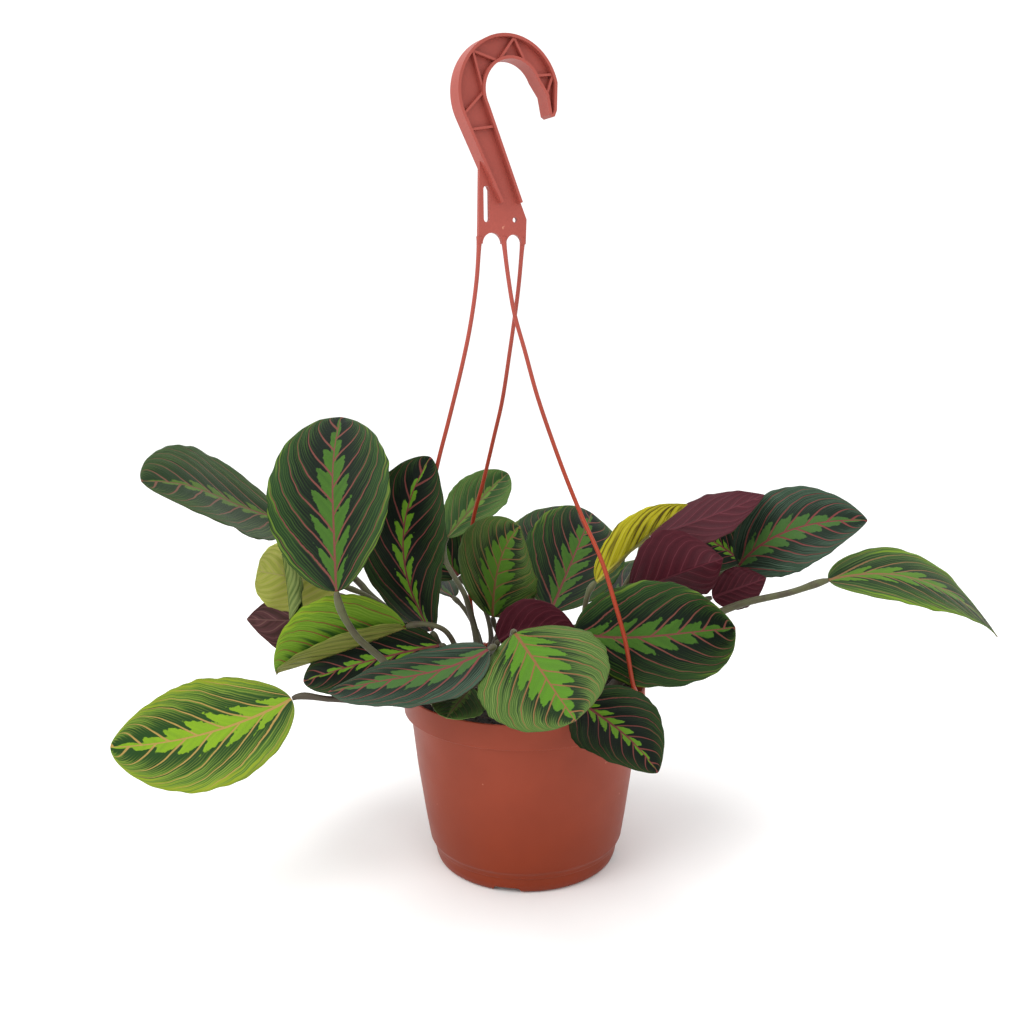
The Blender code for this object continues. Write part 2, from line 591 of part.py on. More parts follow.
def build_hanger():
    finish = material("hanger_plastic", HANGER_COLOUR, 0.42)
    outer, inner = hook_paths()
    blade = slab("hanger", [*BLADE_LEFT, *outer[1:], *HOOK_TIP, *inner[:0:-1], *BLADE_RIGHT],
                 WEB_THICKNESS)
    blade.data.materials.append(finish)
    arches = [slab("arch", [(x - r, 370.0), *arc((x, z), r, 180.0, 0.0, 12), (x + r, 370.0)],
                   3 * WEB_THICKNESS) for x, z, r in ARCHES]
    x, z, width, height = SLOT
    ends = (height - width) / 2
    window = slab("slot", arc((x, z + ends), width / 2, 0.0, 180.0, 6)
                  + arc((x, z - ends), width / 2, 180.0, 360.0, 6), 3 * WEB_THICKNESS)
    x, z, radius = BLADE_HOLE
    hole = slab("hole", arc((x, z), radius, 0.0, 330.0, 11), 3 * WEB_THICKNESS)
    combine(blade, [*arches, window, hole], "DIFFERENCE")

    edges = ([*outer, *HOOK_TIP[:2]], [*HOOK_TIP[1:], *inner[::-1]])
    flanges = [wall_along("flange", path, FLANGE_WIDTH, FLANGE_DEPTH) for path in edges]
    truss = [wall_along("truss", pair, TRUSS_WIDTH, FLANGE_DEPTH - 2.0) for pair in TRUSS]
    prongs = []
    for side, through in PRONGS.items():
        foot = Vector(ring_point(RIM_RADIUS - WALL / 2, CLIPS[side], RIM_TOP + CLIP_CAP - 0.8))
        root = hanger_point(PRONG_ROOTS[side], PRONG_ROOT_HEIGHT + 4.0)
        path = curve_points([foot, *through, root], 2 * len(through))
        prongs.append(tube("prong", path, (PRONG_RADIUS + 0.15, PRONG_RADIUS), PRONG_SIDES))
    clips = [piece for angle in CLIPS.values() for piece in clip(angle)]
    return smooth(combine(blade, [*flanges, *truss, *prongs, *clips], "UNION"), 30.0)


# Leaves

def leaf_frame(leaf):
    """Base, unit vector along the leaf, length, upper side's normal, and the way across."""
    base, tip = Vector(leaf.base), Vector(leaf.tip)
    length = (tip - base).length
    along = (tip - base) / length
    azimuth, elevation = (math.radians(a) for a in leaf.faces)
    look = Vector((math.cos(azimuth) * math.cos(elevation),
                   math.sin(azimuth) * math.cos(elevation), math.sin(elevation)))
    normal = (look - along * look.dot(along)).normalized()
    return base, along, length, normal, along.cross(normal)


def leaf_outline(u, point):
    """Half width as a part of the greatest one: a broad oval with a rounded base."""
    place = min(max(u, 1e-4), 1.0 - 1e-4) ** (math.log(0.5) / math.log(0.47))
    return math.sin(math.pi * place) ** (0.58 + point * u)


def leaf_point(leaf, u, v):
    """A point of the blade and the surface normal there. u runs along, v from -1 to 1 across."""
    base, along, length, normal, across = leaf_frame(leaf)
    rise = normal * leaf.arch + across * leaf.bend
    middle = (base + along * length * u + rise * length * 4 * u * (1 - u)
              + normal * length * leaf.wave * math.sin(math.tau * u))
    heading = (along + rise * 4 * (1 - 2 * u)
               + normal * leaf.wave * math.tau * math.cos(math.tau * u)).normalized()
    up = (normal - heading * normal.dot(heading)).normalized()
    out = heading.cross(up)
    turn = math.radians(leaf.twist) * (u - 0.5)
    up, out = math.cos(turn) * up + math.sin(turn) * out, math.cos(turn) * out - math.sin(turn) * up
    half = 1 if v > 0 else 0
    outline = leaf_outline(u, leaf.point)
    reach = leaf.width / 2 * leaf.halves[half] * outline + BLADE_THICKNESS / 2
    fold = math.radians(leaf.fold[half]) * min(outline / FOLD_EASE, 1.0)
    curl = math.radians(leaf.curl[half]) * outline
    curl = curl if abs(curl) > 1e-4 else 1e-4
    end = fold + curl * abs(v)
    sideways = reach * (math.sin(end) - math.sin(fold)) / curl
    upwards = reach * (math.cos(fold) - math.cos(end)) / curl
    sign = 1 if v > 0 else -1
    point = middle + out * sideways * sign + up * upwards
    return point, math.cos(end) * up - math.sin(end) * sign * out


def leaf_rows():
    """Places along the leaf, closer together where its outline turns at the two ends."""
    return [0.5 - 0.5 * math.cos(math.pi * i / LEAF_ROWS) for i in range(LEAF_ROWS + 1)]


def build_leaf(leaf):
    """A thin closed blade, with an upper and a lower skin."""
    columns = [2 * j / LEAF_COLUMNS - 1 for j in range(LEAF_COLUMNS + 1)]
    upper, lower = [], []
    for u in leaf_rows():
        for v in columns:
            point, normal = leaf_point(leaf, u, v)
            if v == 0:
                normal = (leaf_point(leaf, u, 1e-6)[1] + leaf_point(leaf, u, -1e-6)[1]) / 2
                normal.normalize()
            upper.append(point + normal * BLADE_THICKNESS / 2)
            lower.append(point - normal * BLADE_THICKNESS / 2)
    wide, count = len(columns), len(upper)
    faces = []
    for i in range(LEAF_ROWS):
        for j in range(LEAF_COLUMNS):
            a = i * wide + j
            faces.append((a, a + 1, a + wide + 1, a + wide))
            faces.append(tuple(count + k for k in (a, a + wide, a + wide + 1, a + 1)))
    edge = [j for j in range(wide)]
    edge += [i * wide + wide - 1 for i in range(1, LEAF_ROWS + 1)]
    edge += [LEAF_ROWS * wide + j for j in range(wide - 2, -1, -1)]
    edge += [i * wide for i in range(LEAF_ROWS - 1, 0, -1)]
    for a, b in zip(edge, edge[1:] + edge[:1]):
        faces.append((a, b, count + b, count + a))
    return smooth(new_object(leaf.name, upper + lower, faces,
                             material(leaf.name, leaf.colour, 0.5)), 60.0)


# Stems

def build_shoot(shoot, leaves, finish):
    """A crown at the soil with the stalks of its leaves, joined into one piece."""
    x, y = shoot.crown
    foot = soil_height(x, y) + SOIL_CLEARANCE
    crown = [Vector((x, y, foot)), Vector((x, y, foot + 4.0)), Vector((x, y, foot + 8.0))]
    joined = tube(shoot.name, crown, (4.6, 2.6), 2 * TUBE_SIDES, finish)
    stalks = []
    for petiole in shoot.petioles:
        leaf = leaves[petiole.leaf]
        base, _, length, _, _ = leaf_frame(leaf)
        heading = (leaf_point(leaf, 0.02, 0.0)[0] - base).normalized()
        end = base - heading * (BLADE_THICKNESS + CLEARANCE)
        count = TUBE_RINGS + 2 * len(petiole.through)
        path = curve_points([crown[1], *petiole.through, end], count, heading)
        stalks.append(tube("stalk", path, petiole.radii, TUBE_SIDES))
    return smooth(combine(joined, stalks, "UNION"), 50.0)


def main():
    for obj in list(bpy.data.objects):
        bpy.data.objects.remove(obj)
    build_pot()
    build_soil()
    build_hanger()
    leaves = {leaf.name: leaf for leaf in LEAVES}
    for leaf in LEAVES:
        build_leaf(leaf)
    finish = material("green_stem", STEM_COLOUR, 0.55)
    for shoot in SHOOTS:
        build_shoot(shoot, leaves, finish)


main()
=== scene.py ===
"""A potted prayer plant with patterned leaves, in a terracotta plastic pot on a three-prong hanger.

Every size is in millimetres and becomes metres where a mesh is written. The pot's axis is Z, and its
foot stands at the origin.
"""

import logging
import math
from dataclasses import dataclass, field
from enum import Enum
from typing import Iterable, Sequence

import bmesh
import bpy
import numpy as np
from mathutils import Matrix, Vector


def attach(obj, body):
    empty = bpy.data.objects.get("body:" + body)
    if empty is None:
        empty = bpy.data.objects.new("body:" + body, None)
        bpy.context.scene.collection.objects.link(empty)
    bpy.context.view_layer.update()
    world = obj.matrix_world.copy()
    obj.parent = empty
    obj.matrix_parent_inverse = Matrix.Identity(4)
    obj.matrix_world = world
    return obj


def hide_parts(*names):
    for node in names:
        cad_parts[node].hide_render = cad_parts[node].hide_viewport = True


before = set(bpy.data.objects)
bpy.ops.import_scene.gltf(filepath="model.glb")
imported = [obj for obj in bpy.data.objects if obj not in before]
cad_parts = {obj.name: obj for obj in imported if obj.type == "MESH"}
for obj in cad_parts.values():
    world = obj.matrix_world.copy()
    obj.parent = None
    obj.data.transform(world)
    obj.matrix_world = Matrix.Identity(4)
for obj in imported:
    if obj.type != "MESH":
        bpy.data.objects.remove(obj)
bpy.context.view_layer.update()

LOG = logging.getLogger("prayer_plant")
MM = 0.001
FAR_HALF_SHIFT = 0.45  # how far the side veins of the two halves are out of step
TOOTH_SHAPE = ((0.0, 0.06), (0.1, 0.4), (0.3, 0.78), (0.62, 1.0), (0.74, 0.7), (0.82, 0.1))

Point = Sequence[float]
Colour = tuple[float, float, float, float]

# Tools


def colour_of(code: str) -> Colour:
    """Turn an sRGB hex colour into a linear one.

    Args:
        code: the colour as "#RRGGBB".

    Returns:
        Linear red, green and blue, with an alpha of one.
    """
    levels = [int(code[i:i + 2], 16) / 255 for i in (1, 3, 5)]
    red, green, blue = (v / 12.92 if v <= 0.04045 else ((v + 0.055) / 1.055) ** 2.4 for v in levels)
    return red, green, blue, 1.0


def add(tree: bpy.types.NodeTree, kind: str, settings: dict | None = None,
        inputs: dict | None = None) -> bpy.types.Node:
    """Add a node to a tree.

    Args:
        tree: the shader or geometry tree.
        kind: the node's type name.
        settings: the node's properties.
        inputs: for each input, by name or number, a node, an output socket or a value.

    Returns:
        The new node.
    """
    node = tree.nodes.new(kind)
    for name, value in (settings or {}).items():
        setattr(node, name, value)
    wire(tree, node, inputs or {})
    return node


def wire(tree: bpy.types.NodeTree, node: bpy.types.Node, inputs: dict) -> None:
    """Link or set a node's inputs.

    Args:
        tree: the tree that holds the node.
        node: the node.
        inputs: for each input, by name or number, a node, an output socket or a value.
    """
    for key, value in inputs.items():
        if isinstance(value, bpy.types.Node):
            tree.links.new(value.outputs[0], node.inputs[key])
        elif isinstance(value, bpy.types.NodeSocket):
            tree.links.new(value, node.inputs[key])
        else:
            node.inputs[key].default_value = value


def new_finish(name: str) -> tuple[bpy.types.Material, bpy.types.NodeTree, bpy.types.Node]:
    """Start a finish.

    Args:
        name: the material's name.

    Returns:
        The material, its node tree and its shader.
    """
    made = bpy.data.materials.new(name)
    made.use_nodes = True
    return made, made.node_tree, made.node_tree.nodes["Principled BSDF"]


def open_tree(name: str, inputs: Sequence[tuple], output: str) -> tuple[bpy.types.NodeTree, bpy.types.Node]:
    """Start a Geometry Nodes tree.

    Args:
        name: the tree's name.
        inputs: the name and the type of each input.
        output: the name of its geometry output.

    Returns:
        The tree, and the node that gives its inputs.
    """
    tree = bpy.data.node_groups.new(name, "GeometryNodeTree")
    for label, kind in inputs:
        tree.interface.new_socket(label, in_out="INPUT", socket_type=f"NodeSocket{kind}")
    tree.interface.new_socket(output, in_out="OUTPUT", socket_type="NodeSocketGeometry")
    return tree, add(tree, "NodeGroupInput")


def close_tree(tree: bpy.types.NodeTree, geometry: bpy.types.Node, finish: bpy.types.NodeSocket,
               output: str) -> None:
    """End a Geometry Nodes tree: realise its instances and give them their finish.

    Args:
        tree: the tree.
        geometry: the node that makes the shape.
        finish: the socket that gives the material.
        output: the name of its geometry output.
    """
    whole = add(tree, "GeometryNodeRealizeInstances", {}, {"Geometry": geometry})
    dressed = add(tree, "GeometryNodeSetMaterial", {}, {"Geometry": whole, "Material": finish})
    add(tree, "NodeGroupOutput", {}, {output: dressed})


def run_tree(obj: bpy.types.Object, tree: bpy.types.NodeTree, values: dict) -> bpy.types.Object:
    """Put an object through a Geometry Nodes tree.

    Args:
        obj: the object.
        tree: the tree.
        values: the tree's inputs by name.

    Returns:
        The same object, with a plain mesh.
    """
    step = obj.modifiers.new(tree.name, "NODES")
    step.node_group = tree
    for item in tree.interface.items_tree:
        if item.name in values:
            step[item.identifier] = values[item.name]
    return settle(obj)


def mesh_object(name: str, points: Iterable[Point], faces: Iterable[Sequence[int]],
                edges: Iterable[Sequence[int]] = ()) -> bpy.types.Object:
    """Make an object of a mesh given in millimetres.

    Args:
        name: the object's name.
        points: the vertices.
        faces: the corners of each face.
        edges: loose edges, for a centreline.

    Returns:
        The linked object, at the origin.
    """
    mesh = bpy.data.meshes.new(name)
    mesh.from_pydata((np.asarray(points, float) * MM).tolist(), edges, faces)
    obj = bpy.data.objects.new(name, mesh)
    bpy.context.scene.collection.objects.link(obj)
    return obj


def face_out(obj: bpy.types.Object) -> bpy.types.Object:
    """Turn every face of a closed mesh outwards.

    Args:
        obj: the mesh object.

    Returns:
        The same object.
    """
    shaped = bmesh.new()
    shaped.from_mesh(obj.data)
    bmesh.ops.recalc_face_normals(shaped, faces=shaped.faces)
    shaped.to_mesh(obj.data)
    shaped.free()
    return obj


def settle(obj: bpy.types.Object) -> bpy.types.Object:
    """Put the result of the modifiers in the mesh, and remove them.

    Args:
        obj: the object with live modifiers.

    Returns:
        The same object, with a plain mesh.
    """
    graph = bpy.context.evaluated_depsgraph_get()
    shaped = bpy.data.meshes.new_from_object(obj.evaluated_get(graph))
    obj.modifiers.clear()
    obj.data = shaped
    return obj


def combine(target: bpy.types.Object, others: Sequence[bpy.types.Object],
            operation: str) -> bpy.types.Object:
    """Join solids to the target, or cut them from it. The others are used up.

    Args:
        target: the solid that stays.
        others: the solids to add or take away.
        operation: "UNION" or "DIFFERENCE".

    Returns:
        The target.
    """
    for other in others:
        step = target.modifiers.new(other.name, "BOOLEAN")
        step.operation = operation
        step.object = other
        settle(target)
        bpy.data.objects.remove(other)
    return target


def finish_piece(obj: bpy.types.Object, node: str,
                 material: bpy.types.Material | None = None,
                 sharp: float | None = None) -> bpy.types.Object:
    """Dress a finished piece and set it in the frame.

    Args:
        obj: the piece.
        node: the frame's node that it stands for.
        material: its finish, unless the mesh has it already.
        sharp: the angle in degrees above which an edge stays sharp.

    Returns:
        The piece.
    """
    if material:
        obj.data.materials.clear()
        obj.data.materials.append(material)
    obj.data.shade_smooth()
    if sharp:
        obj.data.set_sharp_from_angle(angle=math.radians(sharp))
    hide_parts(node)
    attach(obj, "root")
    LOG.info("%s: %d faces", obj.name, len(obj.data.polygons))
    return obj


def ring_point(radius: float, angle: float, height: float) -> Vector:
    """Find a point on a circle round the pot's axis.

    Args:
        radius: the circle's radius.
        angle: degrees from +X.
        height: the point's height.

    Returns:
        The point.
    """
    turn = math.radians(angle)
    return Vector((radius * math.cos(turn), radius * math.sin(turn), height))


def arc(centre: Point, radius: float, start: float, end: float, steps: int) -> list[tuple]:
    """Find points on an arc.

    Args:
        centre: the arc's centre.
        radius: its radius.
        start: the first angle in degrees.
        end: the last angle in degrees.
        steps: how many spans it has.

    Returns:
        The points, from start to end.
    """
    turns = [math.radians(start + (end - start) * i / steps) for i in range(steps + 1)]
    return [(centre[0] + radius * math.cos(t), centre[1] + radius * math.sin(t)) for t in turns]


def rounded(corners: Sequence[Point], radius: float, steps: int, closed: bool) -> list[tuple]:
    """Round the corners of an outline.

    Args:
        corners: the outline's corners in its own plane.
        radius: how far from each corner the rounding starts, where the edges have room.
        steps: how many spans each rounding has.
        closed: whether the last corner joins the first.

    Returns:
        The rounded outline.
    """
    knots = [np.array(c, float) for c in corners]
    count = len(knots)
    found = []
    for i, knot in enumerate(knots):
        if not closed and i in (0, count - 1):
            found.append(tuple(knot))
            continue
        before, after = knots[i - 1], knots[(i + 1) % count]
        back, ahead = np.linalg.norm(before - knot), np.linalg.norm(after - knot)
        reach = min(radius, 0.45 * back, 0.45 * ahead)
        start, end = knot + (before - knot) / back * reach, knot + (after - knot) / ahead * reach
        for k in range(steps + 1):
            t = k / steps
            found.append(tuple((1 - t) ** 2 * start + 2 * t * (1 - t) * knot + t * t * end))
    return found


def lathe(name: str, profile: Sequence[Point], sides: int) -> bpy.types.Object:
    """Turn a profile round the pot's axis.

    Args:
        name: the object's name.
        profile: radius and height, from the axis at the bottom, outside, back to the axis.
        sides: how many flats the circle has.

    Returns:
        The turned solid.
    """
    points = [Vector((0.0, 0.0, profile[0][1]))]
    for radius, height in profile[1:-1]:
        points += [ring_point(radius, 360.0 * i / sides, height) for i in range(sides)]
    points.append(Vector((0.0, 0.0, profile[-1][1])))
    last = len(points) - 1
    faces = []
    for i in range(sides):
        after = (i + 1) % sides
        faces.append((0, 1 + after, 1 + i))
        for low in range(1, last - sides, sides):
            faces.append((low + i, low + after, low + sides + after, low + sides + i))
        faces.append((last - sides + i, last - sides + after, last))
    return face_out(mesh_object(name, points, faces))


def prism(name: str, corners: Sequence[Point], push: Point) -> bpy.types.Object:
    """Push a loop of corners into a solid.

    Args:
        name: the object's name.
        corners: the loop.
        push: the way and the distance that it is pushed.

    Returns:
        The solid.
    """
    front = [Vector(c) for c in corners]
    back = [c + Vector(push) for c in front]
    count = len(front)
    faces = [tuple(range(count)), tuple(range(2 * count - 1, count - 1, -1))]
    faces += [(i, (i + 1) % count, count + (i + 1) % count, count + i) for i in range(count)]
    return face_out(mesh_object(name, front + back, faces))


def curve_points(points: Sequence[Point], count: int, heading: Vector | None = None) -> list[Vector]:
    """Follow a smooth curve through some points.

    Args:
        points: the points that it passes.
        count: how many points are wanted.
        heading: the way that the curve ends, or None for its own.

    Returns:
        The points along the curve.
    """
    knots = [Vector(p) for p in points]
    last = knots[-1] - knots[-2]
    beyond = knots[-2] + 2 * heading * last.length if heading else knots[-1] + last
    knots = [2 * knots[0] - knots[1], *knots, beyond]
    spans = len(knots) - 3
    found = []
    for i in range(count):
        place = spans * i / (count - 1)
        span = min(int(place), spans - 1)
        t = place - span
        a, b, c, d = knots[span:span + 4]
        found.append(0.5 * (2 * b + (c - a) * t + (2 * a - 5 * b + 4 * c - d) * t * t
                            + (3 * b - a - 3 * c + d) * t ** 3))
    return found


class Sweep:
    """A round section swept along centrelines by Geometry Nodes. Each point carries its girth."""

    def __init__(self) -> None:
        """Build the node tree once; every stalk and prong uses it."""
        tree, given = open_tree("round sweep", (("Centreline", "Geometry"), ("Sides", "Int"),
                                                ("Finish", "Material")), "Swept")
        girth = add(tree, "GeometryNodeInputNamedAttribute", {"data_type": "FLOAT"},
                    {"Name": "girth"})
        line = add(tree, "GeometryNodeMeshToCurve", {}, {"Mesh": given.outputs["Centreline"]})
        ring = add(tree, "GeometryNodeCurvePrimitiveCircle", {},
                   {"Resolution": given.outputs["Sides"], "Radius": 1.0})
        swept = add(tree, "GeometryNodeCurveToMesh", {},
                    {"Curve": line, "Profile Curve": ring, "Scale": girth, "Fill Caps": True})
        close_tree(tree, swept, given.outputs["Finish"], "Swept")
        self.tree = tree

    def make(self, name: str, path: Sequence[Point], radii: Sequence[float], sides: int,
             material: bpy.types.Material) -> bpy.types.Object:
        """Sweep one closed round bar.

        Args:
            name: the object's name.
            path: the centreline in millimetres.
            radii: the radius at each of its points.
            sides: how many flats the section has.
            material: the bar's finish.

        Returns:
            The bar as a plain mesh.
        """
        obj = mesh_object(name, path, (), [(i, i + 1) for i in range(len(path) - 1)])
        girth = obj.data.attributes.new("girth", "FLOAT", "POINT")
        girth.data.foreach_set("value", [r * MM for r in radii])
        run_tree(obj, self.tree, {"Sides": sides, "Finish": material})
        welded = bmesh.new()
        welded.from_mesh(obj.data)
        bmesh.ops.remove_doubles(welded, verts=welded.verts, dist=1e-6)
        bmesh.ops.recalc_face_normals(welded, faces=welded.faces)
        welded.to_mesh(obj.data)
        welded.free()
        return obj


# Finishes


@dataclass(frozen=True)
class MouldedPolypropylene:
    """Injection-moulded polypropylene in terracotta colour: a satin skin with soft cloudy shading."""

    name: str
    colour: str
    worn: str
    top: str
    fade_from: float = 0.0
    fade_to: float = 0.1
    scuffed: str = "#E2A084"
    cloudiness: float = 0.22
    roughness: float = 0.42
    gloss: float = 0.22

    def material(self) -> bpy.types.Material:
        """Build the finish.

        Returns:
            The material.
        """
        made, tree, shader = new_finish(self.name)
        place = add(tree, "ShaderNodeTexCoord").outputs["Object"]
        # Flow clouds about 30 mm across, from pigment that mixed unevenly
        cloud = add(tree, "ShaderNodeTexNoise", {}, {"Vector": place, "Scale": 32.0, "Detail": 3.0})
        haze = add(tree, "ShaderNodeMapRange", {},
                   {"Value": cloud, "From Min": 0.3, "From Max": 0.75})
        height = add(tree, "ShaderNodeSeparateXYZ", {}, {"Vector": place}).outputs["Z"]
        rise = add(tree, "ShaderNodeMapRange", {"interpolation_type": "SMOOTHSTEP"},
                   {"Value": height, "From Min": self.fade_from, "From Max": self.fade_to})
        body = add(tree, "ShaderNodeMix", {"data_type": "RGBA"},
                   {"Factor": rise, 6: colour_of(self.colour), 7: colour_of(self.top)}).outputs[2]
        veil = add(tree, "ShaderNodeMath", {"operation": "MULTIPLY"}, {0: haze, 1: self.cloudiness})
        clouded = add(tree, "ShaderNodeMix", {"data_type": "RGBA"},
                      {"Factor": veil, 6: body, 7: colour_of(self.worn)}).outputs[2]
        # Scuffs: pale marks up to about 10 mm long and under 2 mm wide
        stretched = add(tree, "ShaderNodeMapping", {},
                        {"Vector": place, "Rotation": (0.5, 0.9, 0.3), "Scale": (90.0, 520.0, 260.0)})
        mark = add(tree, "ShaderNodeTexNoise", {}, {"Vector": stretched, "Scale": 1.0, "Detail": 1.0})
        scuff = add(tree, "ShaderNodeMapRange", {},
                    {"Value": mark, "From Min": 0.80, "From Max": 0.82, "To Max": 0.4})
        marked = add(tree, "ShaderNodeMix", {"data_type": "RGBA"},
                     {"Factor": scuff, 6: clouded, 7: colour_of(self.scuffed)}).outputs[2]
        # Mould texture: a fine orange peel, 1.5 mm here so that it still shows at this size
        peel = add(tree, "ShaderNodeTexNoise", {}, {"Vector": place, "Scale": 650.0, "Detail": 2.0})
        bump = add(tree, "ShaderNodeBump", {}, {"Strength": 0.10, "Distance": 0.0004, "Height": peel})
        satin = add(tree, "ShaderNodeMapRange", {},
                    {"Value": cloud, "To Min": self.roughness - 0.07, "To Max": self.roughness + 0.1})
        wire(tree, shader, {"Base Color": marked, "Roughness": satin, "Normal": bump, "IOR": 1.49,
                            "Specular IOR Level": self.gloss})
        return made


@dataclass(frozen=True)
class PeatSoil:
    """Moist peat potting soil: almost black crumbs with brown fibres."""

    name: str = "moist peat soil"
    dark: str = "#0C0907"
    fibre: str = "#3A281B"

    def material(self) -> bpy.types.Material:
        """Build the finish.

        Returns:
            The material.
        """
        made, tree, shader = new_finish(self.name)
        place = add(tree, "ShaderNodeTexCoord").outputs["Object"]
        # Crumbs of 2 to 4 mm, with fibres under a millimetre wide
        crumb = add(tree, "ShaderNodeTexNoise", {}, {"Vector": place, "Scale": 420.0, "Detail": 6.0})
        ramp = add(tree, "ShaderNodeValToRGB", {}, {"Fac": crumb})
        for spot, code, where in zip(ramp.color_ramp.elements, (self.dark, self.fibre), (0.38, 0.78)):
            spot.color = colour_of(code)
            spot.position = where
        bump = add(tree, "ShaderNodeBump", {}, {"Strength": 0.9, "Distance": 0.0012, "Height": crumb})
        wire(tree, shader, {"Base Color": ramp, "Normal": bump, "Roughness": 0.92})
        return made


@dataclass(frozen=True)
class DownyStalk:
    """A maranta's leaf stalk: green-brown, downy, browner near the soil."""

    name: str = "downy leaf stalk"
    low: str = "#35291D"
    high: str = "#484A26"
    streak: str = "#34241A"

    def material(self) -> bpy.types.Material:
        """Build the finish.

        Returns:
            The material.
        """
        made, tree, shader = new_finish(self.name)
        place = add(tree, "ShaderNodeTexCoord").outputs["Object"]
        height = add(tree, "ShaderNodeSeparateXYZ", {}, {"Vector": place}).outputs["Z"]
        rise = add(tree, "ShaderNodeMapRange", {},
                   {"Value": height, "From Min": 0.108, "From Max": 0.175})
        # Blotches of about 6 mm and fine down of 0.6 mm
        blotch = add(tree, "ShaderNodeTexNoise", {}, {"Vector": place, "Scale": 150.0, "Detail": 4.0})
        down = add(tree, "ShaderNodeTexNoise", {}, {"Vector": place, "Scale": 1600.0, "Detail": 2.0})
        patchy = add(tree, "ShaderNodeMapRange", {},
                     {"Value": blotch, "From Min": 0.45, "From Max": 0.7, "To Max": 0.7})
        body = add(tree, "ShaderNodeMix", {"data_type": "RGBA"},
                   {"Factor": rise, 6: colour_of(self.low), 7: colour_of(self.high)}).outputs[2]
        mixed = add(tree, "ShaderNodeMix", {"data_type": "RGBA"},
                    {"Factor": patchy, 6: body, 7: colour_of(self.streak)}).outputs[2]
        bump = add(tree, "ShaderNodeBump", {}, {"Strength": 0.5, "Distance": 0.0003, "Height": down})
        wire(tree, shader, {"Base Color": mixed, "Normal": bump, "Roughness": 0.6,
                            "Sheen Weight": 0.25, "Sheen Roughness": 0.4})
        return made


